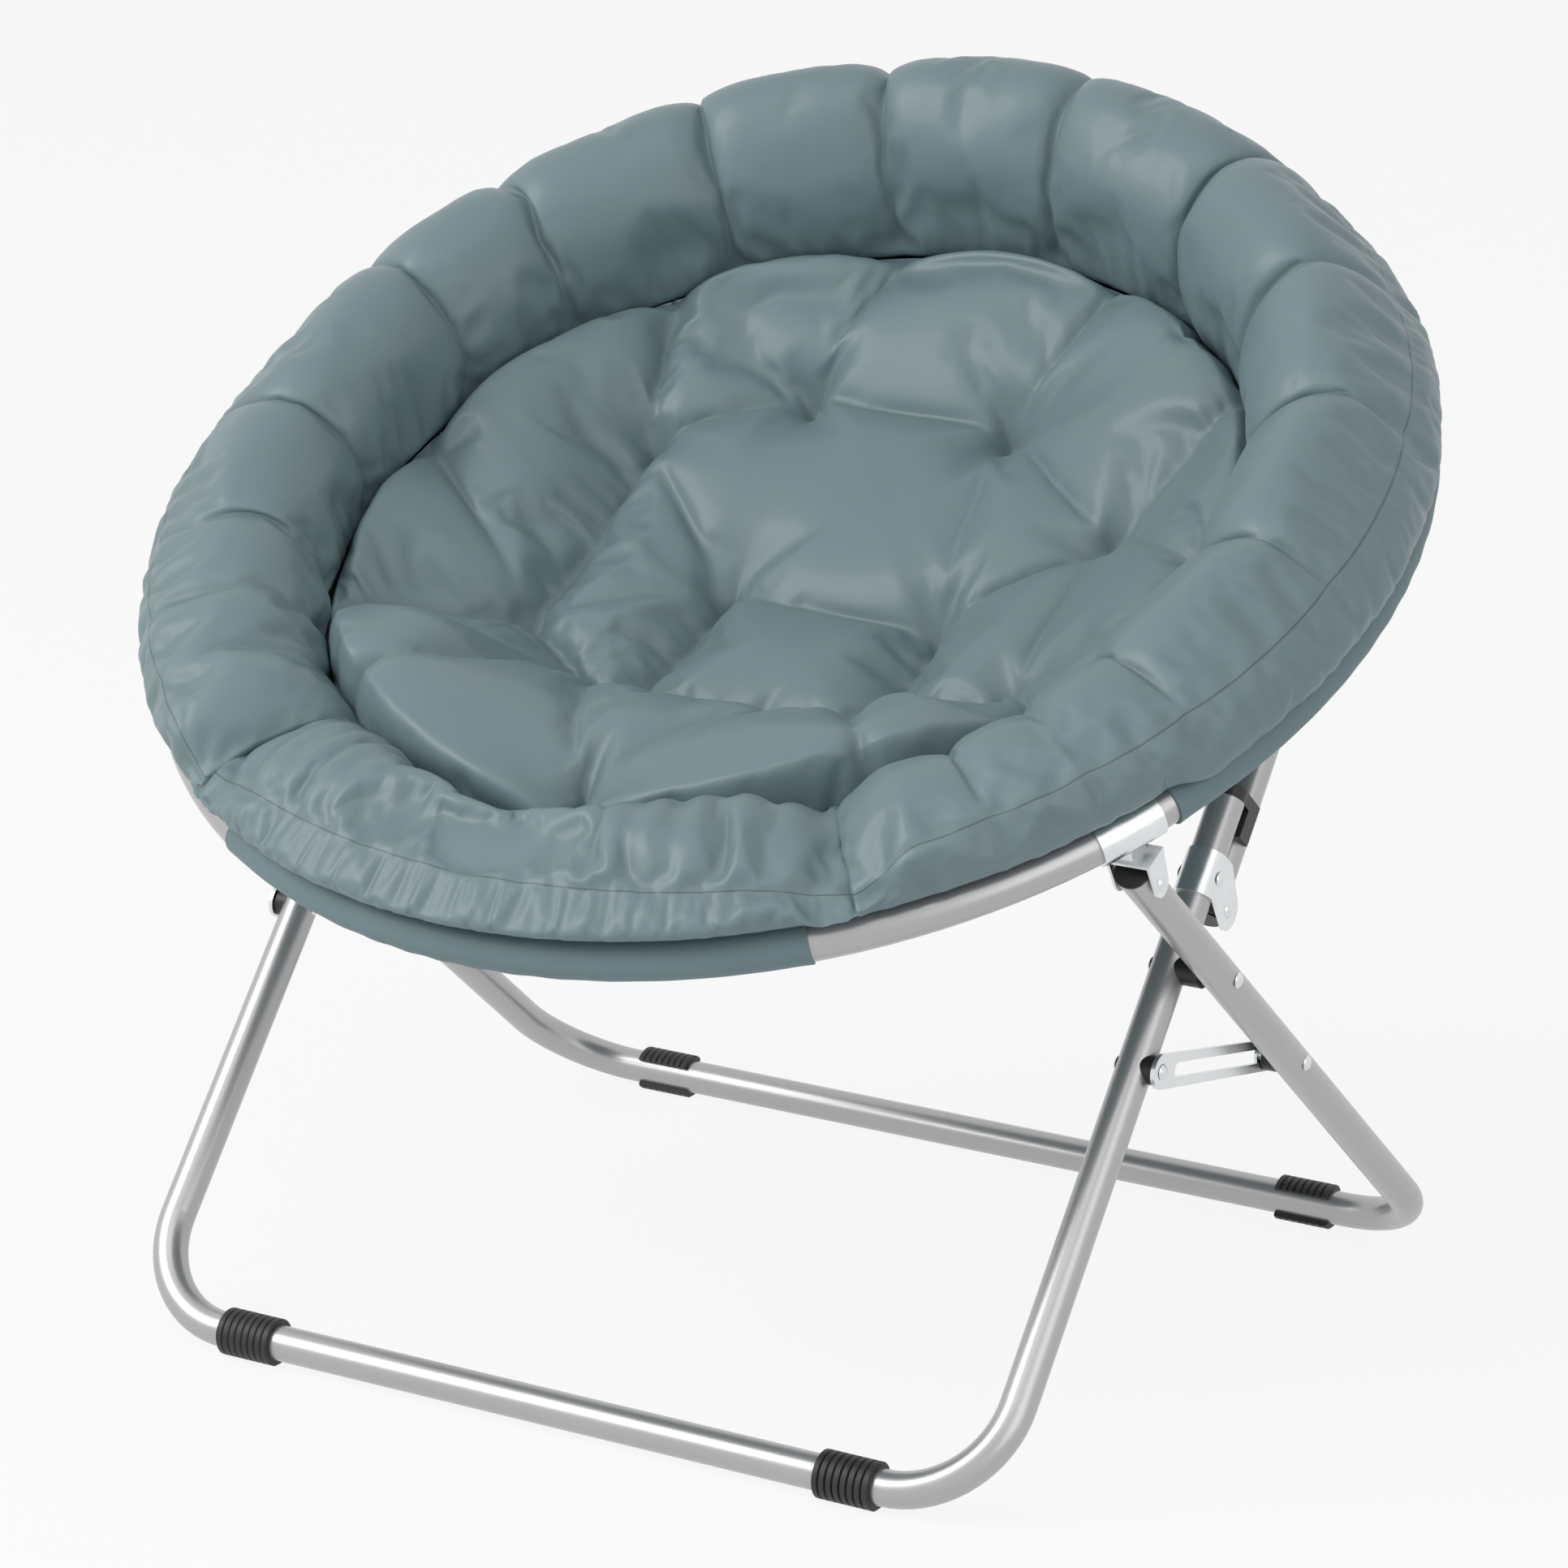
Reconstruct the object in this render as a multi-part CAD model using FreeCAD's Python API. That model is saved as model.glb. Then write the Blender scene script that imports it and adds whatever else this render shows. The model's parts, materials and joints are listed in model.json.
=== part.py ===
"""Folding saucer chair: two crossed U legs, a hoop on four brackets, two
back struts, two slotted links, a fabric sling and a padded cushion.
Millimetres. X is to the sitter's left, Y to the rear, Z up, the floor is at
Z = 0 and the origin lies under the middle of the whole chair."""
import FreeCAD, Part
import math
import os

V = FreeCAD.Vector

# Leg frames
leg_tube = 25.0            # outer diameter of both U frames
tube_wall = 1.2
bar_spread = 608.6         # front floor bar to rear floor bar
bar_height = 16.0          # bar axis above the floor
bars_y = -15.0             # middle of the floor bars from the chair's middle
bracket_outset = 3.4       # rear leg's axis outside the hoop's at the bracket
cross_gap = 13.75          # between the tubes of a front and a rear leg
front_lean = 49.65         # degrees from the floor
rear_lean = 39.78
front_bend = 74.0          # centre line radius of the bends
rear_bend = 70.0
stub_length = 8.0          # straight tube between a bend and the leg joint
front_leg_past_cross = 125.0
rear_pivot_past_cross = 157.6
rear_leg_end = 14.0        # tube past its top pivot
plug_flange = 1.8
plug_depth = 9.0

# Rubber feet
foot_radius = 16.6
foot_length = 43.0
foot_ribs = 8
rib_depth = 1.4
rib_crest = (0.12, 0.78)   # a rib's flat top, as shares of its pitch
rib_root = 0.9
front_foot_in = 23.55      # foot's middle from the start of the bend
rear_foot_in = 29.2
rear_pad_arc = 96.0        # degrees that each half pad wraps

# Hoop
hoop_radius = 438.7
hoop_tube = 27.0
hoop_behind_bars = 18.7    # hoop centre behind the middle of the floor bars
hoop_z = 551.5
hoop_tilt = 25.21          # degrees, rear high
hoop_joint = 56.0          # degrees from the front, hidden in the clamp band

# Struts
strut_tube = 22.0
strut_foot_along = 57.5    # strut pivot past the cross, along the front leg
strut_foot_behind = 27.5   # and behind it
strut_foot_end = 8.0
strut_head_end = 10.0
foot_plug_flange = 1.4
foot_plug_depth = 7.0
strut_head_inset = 28.7    # strut's head inside the hoop's centre line
strut_head_along = 254.0   # strut's upper pivot, along the hoop's slope
strut_head_drop = 38.0     # and below the hoop's plane

# Brackets
plate = 2.0
bracket_gap = 1.0          # between a bracket cheek and the tube it holds
bracket_half_length = 11.0
bracket_nose = 9.0         # radius of the cheek's lower end
bracket_top = 20.3         # web's upper face below the hoop's plane
neck_half_width = 7.0
neck_half_length = 9.0
web_reach = 8.0            # web past the hoop's centre line
clamp_band = 46.0          # length of the bright band round the hoop
screw_offset = 1.0         # degrees past the bracket
knuckle_low = 52.0         # band on the front leg, from the cross
knuckle_high = 84.0
knuckle_nose = 14.0        # radius of its cheeks' lower end
knuckle_flare = 0.9        # cheek's top corner behind the leg, in tube radii
knuckle_heel = 0.3         # and its bottom corner
cap_height = 9.0           # leg cap above the tube
cap_arm = 20.0             # and its saddle below the tube's end
cap_back = 28.0            # saddle behind the leg's axis

# Pins
pin_radius = 3.0
head_radius = 5.5
head_height = 2.6
screw_head_height = 3.4
running = 0.05             # radial clearance of a turning pin
clear = 0.3                # gap between bodies that slide past
spacer_inset = 2.5         # spacer's radius inside the leg's
beyond = 60.0              # how far a cutter runs past what it cuts
cut_turn = 5.0             # the same for a cutter round the hoop, in degrees

# Slotted links
link_pivot_back = 73.0     # below the cross, along the front leg
link_stud_back = 144.0     # below the cross, along the rear leg
link_width = 24.0
link_plate = 3.0
link_slot = 10.0
link_slot_start = 24.0
link_tip = 4.0             # plate past the slot's end
link_taper = 1.0
link_gap = 4.75            # between the front leg and the plate
washer_radius = 8.0
washer_thick = 2.2
stud_gap = 0.4

# Sling and cushion
sleeve_wall = 1.0
sleeve_gap = 0.2
window_gap = 0.6           # round a bracket's neck in the rear sleeve
front_sleeve = 30.0        # half angle of the front sleeve
rear_sleeve = 62.5         # degrees from the front where the rear sleeve starts
sling_depth = 150.0
sling_wall = 1.6
sling_edge = 1.2           # sling's edge inside the sleeve
sling_gap = 0.4
seat_inset = 114.7         # seat pad's edge inside the hoop's centre line
seat_bottom_inset = 156.7
seat_thickness = 62.0
seat_edge_low = 24.0       # underside of the seat pad's edge below the hoop
seat_edge_drop = 2.0       # upper face of that edge below the hoop
seat_side_bulge = 10.0     # how far the pad's side swells out
tuft_radius = 16.0
tuft_depth = 13.0
tufts = [(164, 211), (206, 228), (237, 232), (288, 205), (115, 215), (69, 219),
         (102, 88), (255, 90), (41, 169), (325, 156)]     # degrees from the front, radius
shelf_front = 306.0        # front pillow: its ends along the hoop's slope
shelf_crest = 204.0
shelf_back = 116.0
shelf_half = 236.0
shelf_top = -5.0           # its crest above the hoop's plane
shelf_end_drop = 42.0      # and how far it sinks at its two ends
roll_start = 36.0          # degrees from the front where the rim roll starts
roll_inset = 46.7          # middle of the roll inside the hoop's centre line
roll_half_width = 62.0
roll_side_height = 98.0    # crest above the hoop's plane at the front
roll_back_height = 118.0   # and at the back
roll_end_drop = 0.42       # share of its height that it loses at an end
roll_end_taper = 0.12
roll_gathers = 15
gather_depth = 0.07
flap_half_angle = 34.0
flap_height = 52.0
flap_end_drop = 0.30
rim_foot = 19.0            # lower edge of the border above the hoop's plane
rim_under = -2.0           # underside, inside the hoop
border_bulge = 0.10
screw_room = 1.0
roll_shape = ((-1.0, 0.0), (-0.76, 0.68), (-0.10, 1.0), (0.52, 0.87), (0.83, 0.53))
flap_shape = ((-1.0, 0.12), (-0.84, 0.78), (-0.52, 1.0), (0.0, 1.06), (0.54, 0.94))

tube_radius = leg_tube / 2.0
hoop_tube_radius = hoop_tube / 2.0
strut_radius = strut_tube / 2.0
sleeve_outer = hoop_tube_radius + sleeve_gap + sleeve_wall
sling_rim = hoop_radius - hoop_tube_radius - sleeve_wall - sling_edge
seat_radius = hoop_radius - seat_inset
seat_bottom_radius = hoop_radius - seat_bottom_inset
roll_centre = hoop_radius - roll_inset
PARTS = {}


def direction(angle):
    """Unit vector in the side plane, degrees from +Y towards +Z."""
    a = math.radians(angle)
    return V(0, math.cos(a), math.sin(a))


FRONT = direction(front_lean)
BEHIND = direction(front_lean - 90.0)
REAR = direction(180.0 - rear_lean)
SLOPE = direction(hoop_tilt)
DOWN = direction(hoop_tilt - 90.0)
FRONT_BAR = V(0, bars_y - bar_spread / 2.0, bar_height)
REAR_BAR = V(0, bars_y + bar_spread / 2.0, bar_height)
HOOP = V(0, bars_y + hoop_behind_bars, hoop_z)


def crossing():
    """Where the two leg axes cross in the side view."""
    gap = REAR_BAR - FRONT_BAR
    det = FRONT.y * -REAR.z + REAR.y * FRONT.z
    along = (gap.y * -REAR.z + REAR.y * gap.z) / det
    return FRONT_BAR + FRONT * along


CROSS = crossing()
FRONT_RISE = (CROSS - FRONT_BAR).Length
REAR_RISE = (CROSS - REAR_BAR).Length
REAR_PIVOT = CROSS + REAR * rear_pivot_past_cross
STRUT_FOOT = CROSS + FRONT * strut_foot_along + BEHIND * strut_foot_behind
STRUT_HEAD = HOOP + SLOPE * strut_head_along + DOWN * strut_head_drop
LINK_PIVOT = CROSS - FRONT * link_pivot_back
LINK_STUD = CROSS - REAR * link_stud_back


def hoop_x(along):
    """Centre plane to the hoop's centre line, at a place along its slope."""
    return math.sqrt(hoop_radius ** 2 - along ** 2)


REAR_X = hoop_x((REAR_PIVOT - HOOP).dot(SLOPE)) + bracket_outset
FRONT_X = REAR_X - leg_tube - cross_gap
STRUT_HEAD_X = hoop_x(strut_head_along) - strut_head_inset
LINK_X = FRONT_X + tube_radius + link_gap


def at(x, point):
    return V(x, point.y, point.z)


def both(shape):
    """A right-hand shape and its mirror image."""
    return [shape, shape.mirror(V(0, 0, 0), V(1, 0, 0))]


def save(name, *shapes):
    """Write one node's solid or solids."""
    solids = [s for shape in shapes for s in shape.Solids]
    out = solids[0] if len(solids) == 1 else Part.makeCompound(solids)
    out.exportStep("parts/" + name + ".step")
    PARTS[name] = out


def save_pair(name, shape):
    right, left = both(shape)
    save(name + "_right", right)
    save(name + "_left", left)


def rod(start, end, radius):
    run = end - start
    return Part.makeCylinder(radius, run.Length, start, run)


def pipe(start, end, radius, wall):
    return rod(start, end, radius).cut(rod(start, end, radius - wall))


def cross_rod(x0, x1, point, radius):
    """A cylinder along X."""
    return rod(at(x0, point), at(x1, point), radius)


def dome(base, outward, radius, height):
    """A low domed head on a flat base."""
    ball = (radius * radius + height * height) / (2.0 * height)
    centre = base + outward * (height - ball)
    sphere = Part.makeSphere(ball, centre)
    slab = Part.makeCylinder(radius + 1.0, height + 1.0, base, outward)
    return sphere.common(slab)


def rivet(x0, x1, point, radius=pin_radius):
    """A pin along X with a domed head beyond each end."""
    body = cross_rod(x0, x1, point, radius)
    body = body.fuse(dome(at(x1, point), V(1, 0, 0), head_radius, head_height))
    return body.fuse(dome(at(x0, point), V(-1, 0, 0), head_radius, head_height))


def disc(radius, centre, normal):
    return Part.Face(Part.Wire(Part.makeCircle(radius, centre, normal)))


def drill(shape, point, radius):
    """A hole along X through a right-hand shape."""
    return shape.cut(cross_rod(0.0, hoop_radius + beyond, point, radius))


def prism_x(outline, x0, x1):
    """A face outline in the side plane, carried from x0 to x1."""
    face = Part.Face(Part.Wire(outline))
    face.translate(V(x0, 0, 0))
    return face.extrude(V(x1 - x0, 0, 0))


def capsule_edges(start, end, r0, r1):
    """Edges of a straight-sided outline with a round at each end."""
    run = (end - start).normalize()
    side = V(0, -run.z, run.y)
    a, b = start + side * r0, start - side * r0
    c, d = end - side * r1, end + side * r1
    return [Part.Arc(a, start - run * r0, b).toShape(), Part.LineSegment(b, c).toShape(),
            Part.Arc(c, end + run * r1, d).toShape(), Part.LineSegment(d, a).toShape()]


# Leg frames

def u_base(half_width, bend, foot, lean):
    """The floor bar, its two bends and the short stubs above them."""
    up = direction(lean)
    corner = half_width - bend
    shapes = [pipe(foot - V(corner, 0, 0), foot + V(corner, 0, 0), tube_radius, tube_wall)]
    for side in (1, -1):
        centre = foot + V(side * corner, 0, 0) + up * bend
        start = foot + V(side * corner, 0, 0)
        ring = disc(tube_radius, start, V(1, 0, 0)).cut(disc(tube_radius - tube_wall, start, V(1, 0, 0)))
        axis = V(1, 0, 0).cross(up) * side
        shapes.append(ring.revolve(centre, axis, 90.0))
        low = foot + V(side * half_width, 0, 0) + up * bend
        shapes.append(pipe(low, low + up * stub_length, tube_radius, tube_wall))
    return shapes[0].multiFuse(shapes[1:]).removeSplitter()


def leg(half_width, bend, foot, lean, length, holes):
    """A straight leg from the joint above the bend to its upper end."""
    up = direction(lean)
    base = foot + V(half_width, 0, 0)
    body = pipe(base + up * (bend + stub_length), base + up * length, tube_radius, tube_wall)
    for point, radius in holes:
        body = drill(body, point, radius)
    return body


def front_frame():
    save("front_base", u_base(FRONT_X, front_bend, FRONT_BAR, front_lean))
    length = FRONT_RISE + front_leg_past_cross
    holes = [(CROSS, pin_radius + running), (LINK_PIVOT, pin_radius + running),
             (knuckle_rivet_point(), pin_radius + running)]
    save_pair("front_leg", leg(FRONT_X, front_bend, FRONT_BAR, front_lean, length, holes))


def rear_frame():
    save("rear_base", u_base(REAR_X, rear_bend, REAR_BAR, 180.0 - rear_lean))
    length = REAR_RISE + rear_pivot_past_cross + rear_leg_end
    holes = [(CROSS, pin_radius + running), (LINK_STUD, pin_radius + running)]
    body = leg(REAR_X, rear_bend, REAR_BAR, 180.0 - rear_lean, length, holes)
    save_pair("rear_leg", body)
    end = at(REAR_X, REAR_PIVOT + REAR * rear_leg_end)
    plug = rod(end, end + REAR * plug_flange, tube_radius)
    plug = plug.fuse(rod(end - REAR * plug_depth, end, tube_radius - tube_wall - running))
    save_pair("rear_leg_plug", plug)


def foot_profile(inner, rib_count):
    """Half section of a ribbed foot, X along the bar and Y the radius."""
    pitch = foot_length / rib_count
    points = [V(-foot_length / 2.0, inner, 0), V(-foot_length / 2.0, foot_radius - rib_depth, 0)]
    for i in range(rib_count):
        x = -foot_length / 2.0 + pitch * i
        points += [V(x + pitch * share, foot_radius, 0) for share in rib_crest]
        points.append(V(x + pitch * rib_root, foot_radius - rib_depth, 0))
    points += [V(foot_length / 2.0, foot_radius - rib_depth, 0), V(foot_length / 2.0, inner, 0)]
    points.append(points[0])
    return Part.Face(Part.makePolygon(points))


def floor_cut(shape):
    """Trim a foot flat where it stands."""
    wide = 2.0 * hoop_radius
    return shape.cut(Part.makeBox(2.0 * wide, 2.0 * wide, beyond, V(-wide, -wide, -beyond)))


def feet():
    ring = foot_profile(tube_radius, foot_ribs).revolve(V(0, 0, 0), V(1, 0, 0), 360.0)
    ring.translate(V(FRONT_X - front_bend - front_foot_in, 0, 0) + FRONT_BAR)
    save_pair("front_foot", floor_cut(ring))
    arc = foot_profile(tube_radius, foot_ribs)
    arc.rotate(V(0, 0, 0), V(1, 0, 0), 90.0 - rear_pad_arc / 2.0)
    upper = arc.revolve(V(0, 0, 0), V(1, 0, 0), rear_pad_arc)
    upper.translate(V(REAR_X - rear_bend - rear_foot_in, 0, 0) + REAR_BAR)
    save_pair("rear_upper_pad", upper)
    lower = upper.copy()
    lower.rotate(REAR_BAR, V(1, 0, 0), 180.0)
    save_pair("rear_lower_pad", floor_cut(lower))


def cross_pivots():
    """Rivets, spacers and the stud at the cross and at the links."""
    inner = FRONT_X - tube_radius
    outer = REAR_X + tube_radius
    save("cross_rivets", *both(rivet(inner, outer + clear, CROSS)))
    save_pair("cross_spacer", saddle_spacer(CROSS, FRONT, FRONT_X,
                                            REAR_X - tube_radius - clear))
    head = LINK_X + link_plate + clear
    save("link_rivets", *both(rivet(inner, head, LINK_PIVOT)))
    save_pair("link_spacer", saddle_spacer(LINK_PIVOT, FRONT, FRONT_X,
                                           LINK_X - clear))
    tip = head + stud_gap
    stud = cross_rod(tip, outer, LINK_STUD, pin_radius)
    stud = stud.fuse(dome(at(outer, LINK_STUD), V(1, 0, 0), head_radius, head_height))
    save("slot_studs", *both(stud))
    spacer = saddle_spacer(LINK_STUD, REAR, REAR_X, tip)
    save_pair("slot_spacer", spacer)


def saddle_spacer(point, axis, leg_x, face_x):
    """A round spacer hollowed at one end to sit on a leg."""
    body = cross_rod(leg_x, face_x, point, tube_radius - spacer_inset)
    middle = at(leg_x, point)
    body = body.cut(rod(middle - axis * beyond, middle + axis * beyond, tube_radius))
    return drill(body, point, pin_radius + running)


# Knuckle on the front leg's top

def knuckle_rivet_point():
    return CROSS + FRONT * (knuckle_low + knuckle_high) / 2.0


def knuckle():
    """A band folded round the leg whose two cheeks carry the strut."""
    inner = tube_radius
    outer = tube_radius + plate
    x = FRONT_X
    low = at(x, CROSS + FRONT * (knuckle_low - beyond))
    high = at(x, CROSS + FRONT * knuckle_high)
    back = strut_foot_behind + knuckle_nose
    channel = rod(low, high, outer)
    slab = side_block(x, outer, knuckle_low - beyond, knuckle_high, 0.0, back)
    gap = side_block(x, inner, knuckle_low - 2.0 * beyond, knuckle_high + 1.0, 0.0, back + 1.0)
    channel = channel.fuse(slab).cut(rod(low, high, inner)).cut(gap)
    nose = STRUT_FOOT
    top = CROSS + FRONT * knuckle_high - BEHIND * outer * 1.2
    heel = CROSS + FRONT * knuckle_low - BEHIND * outer * 1.2
    top_back = CROSS + FRONT * knuckle_high + BEHIND * tube_radius * knuckle_flare
    arc_top = nose + direction(front_lean - 20.0) * knuckle_nose
    arc_mid = nose + direction(front_lean - 100.0) * knuckle_nose
    arc_low = nose - direction(front_lean) * knuckle_nose
    heel_back = CROSS + FRONT * knuckle_low + BEHIND * tube_radius * knuckle_heel
    outline = [Part.LineSegment(top, top_back).toShape(), Part.LineSegment(top_back, arc_top).toShape(),
               Part.Arc(arc_top, arc_mid, arc_low).toShape(),
               Part.LineSegment(arc_low, heel_back).toShape(),
               Part.LineSegment(heel_back, heel).toShape(), Part.LineSegment(heel, top).toShape()]
    body = channel.common(prism_x(outline, x - outer - 1.0, x + outer + 1.0))
    body = drill(body, knuckle_rivet_point(), pin_radius + running)
    body = drill(body, STRUT_FOOT, pin_radius + running)
    save_pair("knuckle", body)
    x0, x1 = x - outer, x + outer
    save("knuckle_rivets", *both(rivet(x0, x1, knuckle_rivet_point())))
    save("strut_foot_rivets", *both(rivet(x0, x1, STRUT_FOOT)))


def side_block(x, half, s0, s1, t0, t1):
    """A block beside the front leg, s along it and t behind it."""
    a, b = CROSS + FRONT * s0 + BEHIND * t0, CROSS + FRONT * s0 + BEHIND * t1
    c, d = CROSS + FRONT * s1 + BEHIND * t1, CROSS + FRONT * s1 + BEHIND * t0
    edges = [Part.LineSegment(p, q).toShape() for p, q in ((a, b), (b, c), (c, d), (d, a))]
    return prism_x(edges, x - half, x + half)


def leg_cap():
    """A plastic cap on the leg's top with a saddle for the strut."""
    x = FRONT_X
    top = front_leg_past_cross
    end = at(x, CROSS + FRONT * top)
    body = rod(end, end + FRONT * cap_height, tube_radius)
    arm = side_block(x, tube_radius - 0.5, top - cap_arm, top + cap_height, 0.0, cap_back)
    arm = arm.cut(rod(end - FRONT * beyond, end, tube_radius))
    body = body.fuse(arm.cut(side_block(x, tube_radius + 1.0, top - beyond, top, -beyond, tube_radius)))
    body = body.fuse(rod(end - FRONT * plug_depth, end, tube_radius - tube_wall - running))
    foot, head = strut_axis()
    body = body.cut(rod(foot, head, strut_radius + clear))
    return body.removeSplitter()


# Struts

def strut_axis():
    return at(FRONT_X, STRUT_FOOT), at(STRUT_HEAD_X, STRUT_HEAD)


def strut():
    foot, head = strut_axis()
    run = (head - foot).normalize()
    body = pipe(foot - run * strut_foot_end, head + run * strut_head_end, strut_radius, tube_wall)
    body = drill(body, STRUT_FOOT, pin_radius + running)
    body = drill(body, STRUT_HEAD, pin_radius + running)
    save_pair("strut", body)
    end = foot - run * strut_foot_end
    plug = rod(end - run * foot_plug_flange, end, strut_radius)
    plug = plug.fuse(rod(end, end + run * foot_plug_depth, strut_radius - tube_wall - running))
    plug = drill(plug, STRUT_FOOT, pin_radius + running)
    save_pair("strut_foot_plug", plug)


# Hoop and its brackets

def hoop_point(angle, radius=hoop_radius, rise=0.0):
    """A point round the hoop, degrees from the front, +X side first."""
    a = math.radians(angle)
    return HOOP + V(radius * math.sin(a), 0, 0) - SLOPE * radius * math.cos(a) - DOWN * rise


def hoop_tangent(angle):
    a = math.radians(angle)
    return V(math.cos(a), 0, 0) + SLOPE * math.sin(a)


def hoop_arc(start, end, outer, inner=None):
    """A length of ring tube between two angles."""
    face = disc(outer, hoop_point(start), hoop_tangent(start))
    if inner:
        face = face.cut(disc(inner, hoop_point(start), hoop_tangent(start)))
    return face.revolve(HOOP, DOWN, start - end)


def bracket_angle(along):
    return math.degrees(math.acos(-along / hoop_radius))


def along_hoop(point):
    return (point - HOOP).dot(SLOPE)


def drop_below(point):
    return (point - HOOP).dot(DOWN)


def hoop_block(x0, x1, u0, u1, h0, h1):
    """A block under the hoop, u along its slope and h below its plane."""
    corners = [HOOP + SLOPE * u + DOWN * h for u, h in ((u0, h0), (u1, h0), (u1, h1), (u0, h1))]
    edges = [Part.LineSegment(corners[i], corners[(i + 1) % 4]).toShape() for i in range(4)]
    return prism_x(edges, x0, x1)


def channel_bracket(pivot, x, tube_r, reach):
    """An open channel under the hoop with a neck up to the tube."""
    u, h = along_hoop(pivot), drop_below(pivot)
    inner = tube_r + bracket_gap
    outer = inner + plate
    top = HOOP + SLOPE * u + DOWN * bracket_top
    half = bracket_half_length
    a, b = top - SLOPE * half, top + SLOPE * half
    low = HOOP + SLOPE * u + DOWN * h
    c, d = low + SLOPE * bracket_nose, low - SLOPE * bracket_nose
    outline = [Part.LineSegment(a, b).toShape(), Part.LineSegment(b, c).toShape(),
               Part.Arc(c, low + DOWN * bracket_nose, d).toShape(), Part.LineSegment(d, a).toShape()]
    body = prism_x(outline, x - outer, x + outer)
    gap = hoop_block(x - inner, x + inner, u - 2 * half, u + 2 * half, bracket_top + plate, h + 3 * half)
    body = body.cut(gap)
    middle = hoop_x(u)
    if reach:
        body = body.fuse(hoop_block(x + outer, middle + web_reach, u - half, u + half,
                                    bracket_top, bracket_top + plate))
    neck = hoop_block(middle - neck_half_width, middle + neck_half_width,
                      u - neck_half_length, u + neck_half_length, 0.0, bracket_top)
    return body, neck


def hoop_assembly():
    front_angle = bracket_angle(along_hoop(REAR_PIVOT))
    rear_angle = bracket_angle(strut_head_along)
    band_half = math.degrees(clamp_band / 2.0 / hoop_radius)
    screw = front_angle + screw_offset
    top = hoop_point(screw, hoop_radius, hoop_tube_radius + plate)
    shank = rod(top, top + DOWN * (hoop_tube_radius + plate + bracket_top + plate), pin_radius)
    hole = rod(top - DOWN * beyond, top + DOWN * beyond, pin_radius + running)
    holes = both(hole)
    front = hoop_arc(-hoop_joint, hoop_joint, hoop_tube_radius, hoop_tube_radius - tube_wall)
    rear = hoop_arc(hoop_joint, 360.0 - hoop_joint, hoop_tube_radius, hoop_tube_radius - tube_wall)
    save("hoop_front", front)
    save("hoop_rear", rear.cut(holes[0]).cut(holes[1]))
    band = hoop_arc(front_angle - band_half, front_angle + band_half,
                    hoop_tube_radius + plate, hoop_tube_radius)
    solid_band = hoop_arc(front_angle - band_half - cut_turn, front_angle + band_half + cut_turn, hoop_tube_radius)
    body, neck = channel_bracket(REAR_PIVOT, REAR_X, tube_radius, False)
    body = body.fuse([neck.cut(solid_band), band]).cut(hole)
    body = drill(body, REAR_PIVOT, pin_radius + running)
    save_pair("front_bracket", body.removeSplitter())
    save("bracket_screws", *both(shank.fuse(dome(top, DOWN * -1.0, head_radius, screw_head_height))))
    heads = []
    outer = tube_radius + bracket_gap + plate
    for side in (1, -1):
        x = REAR_X + side * outer
        heads.append(dome(at(x, REAR_PIVOT), V(side, 0, 0), head_radius, head_height))
        stem = cross_rod(x - side * plate, x, REAR_PIVOT, pin_radius)
        heads[-1] = heads[-1].fuse(stem)
    save("front_bracket_rivets", *both(Part.makeCompound(heads)))
    solid_rear = hoop_arc(rear_angle - cut_turn, rear_angle + cut_turn, hoop_tube_radius)
    body, neck = channel_bracket(STRUT_HEAD, STRUT_HEAD_X, strut_radius, True)
    body = body.fuse(neck.cut(solid_rear))
    body = drill(body, STRUT_HEAD, pin_radius + running)
    save_pair("rear_bracket", body.removeSplitter())
    outer = strut_radius + bracket_gap + plate
    save("rear_bracket_rivets", *both(rivet(STRUT_HEAD_X - outer, STRUT_HEAD_X + outer, STRUT_HEAD)))
    return neck


# Links

def links():
    """Slotted stay plates and the blocks that run in them."""
    run = (LINK_STUD - LINK_PIVOT)
    reach = run.Length
    way = run.normalize()
    half = link_width / 2.0
    outline = capsule_edges(LINK_PIVOT, LINK_PIVOT + way * (reach + link_tip), half, half - link_taper)
    body = prism_x(outline, LINK_X, LINK_X + link_plate)
    slot = capsule_edges(LINK_PIVOT + way * link_slot_start, LINK_PIVOT + way * reach,
                         link_slot / 2.0, link_slot / 2.0)
    body = body.cut(prism_x(slot, LINK_X - 1.0, LINK_X + link_plate + 1.0))
    body = drill(body, LINK_PIVOT, pin_radius + running)
    save_pair("link", body)
    block = cross_rod(LINK_X - clear, LINK_X + link_plate + clear,
                      LINK_STUD, link_slot / 2.0 - clear)
    washer = cross_rod(LINK_X - clear - washer_thick, LINK_X - clear, LINK_STUD, washer_radius)
    save_pair("slot_block", block.fuse(washer))


# Fabric and padding

def spin(outline):
    """A closed half section (radius, rise) turned about the hoop's axis."""
    face = Part.Face(Part.Wire(outline))
    return face.revolve(HOOP, DOWN, 360.0)


def section_point(radius, rise):
    return hoop_point(90.0, radius, rise)


def arc3(a, b, c):
    return Part.Arc(section_point(*a), section_point(*b), section_point(*c)).toShape()


def line2(a, b):
    return Part.LineSegment(section_point(*a), section_point(*b)).toShape()


def bowl_drop(radius):
    """Depth of the sling's upper face below the hoop's plane."""
    ball = (sling_rim ** 2 + sling_depth ** 2) / (2.0 * sling_depth)
    return math.sqrt(ball ** 2 - radius ** 2) - (ball - sling_depth)


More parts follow.
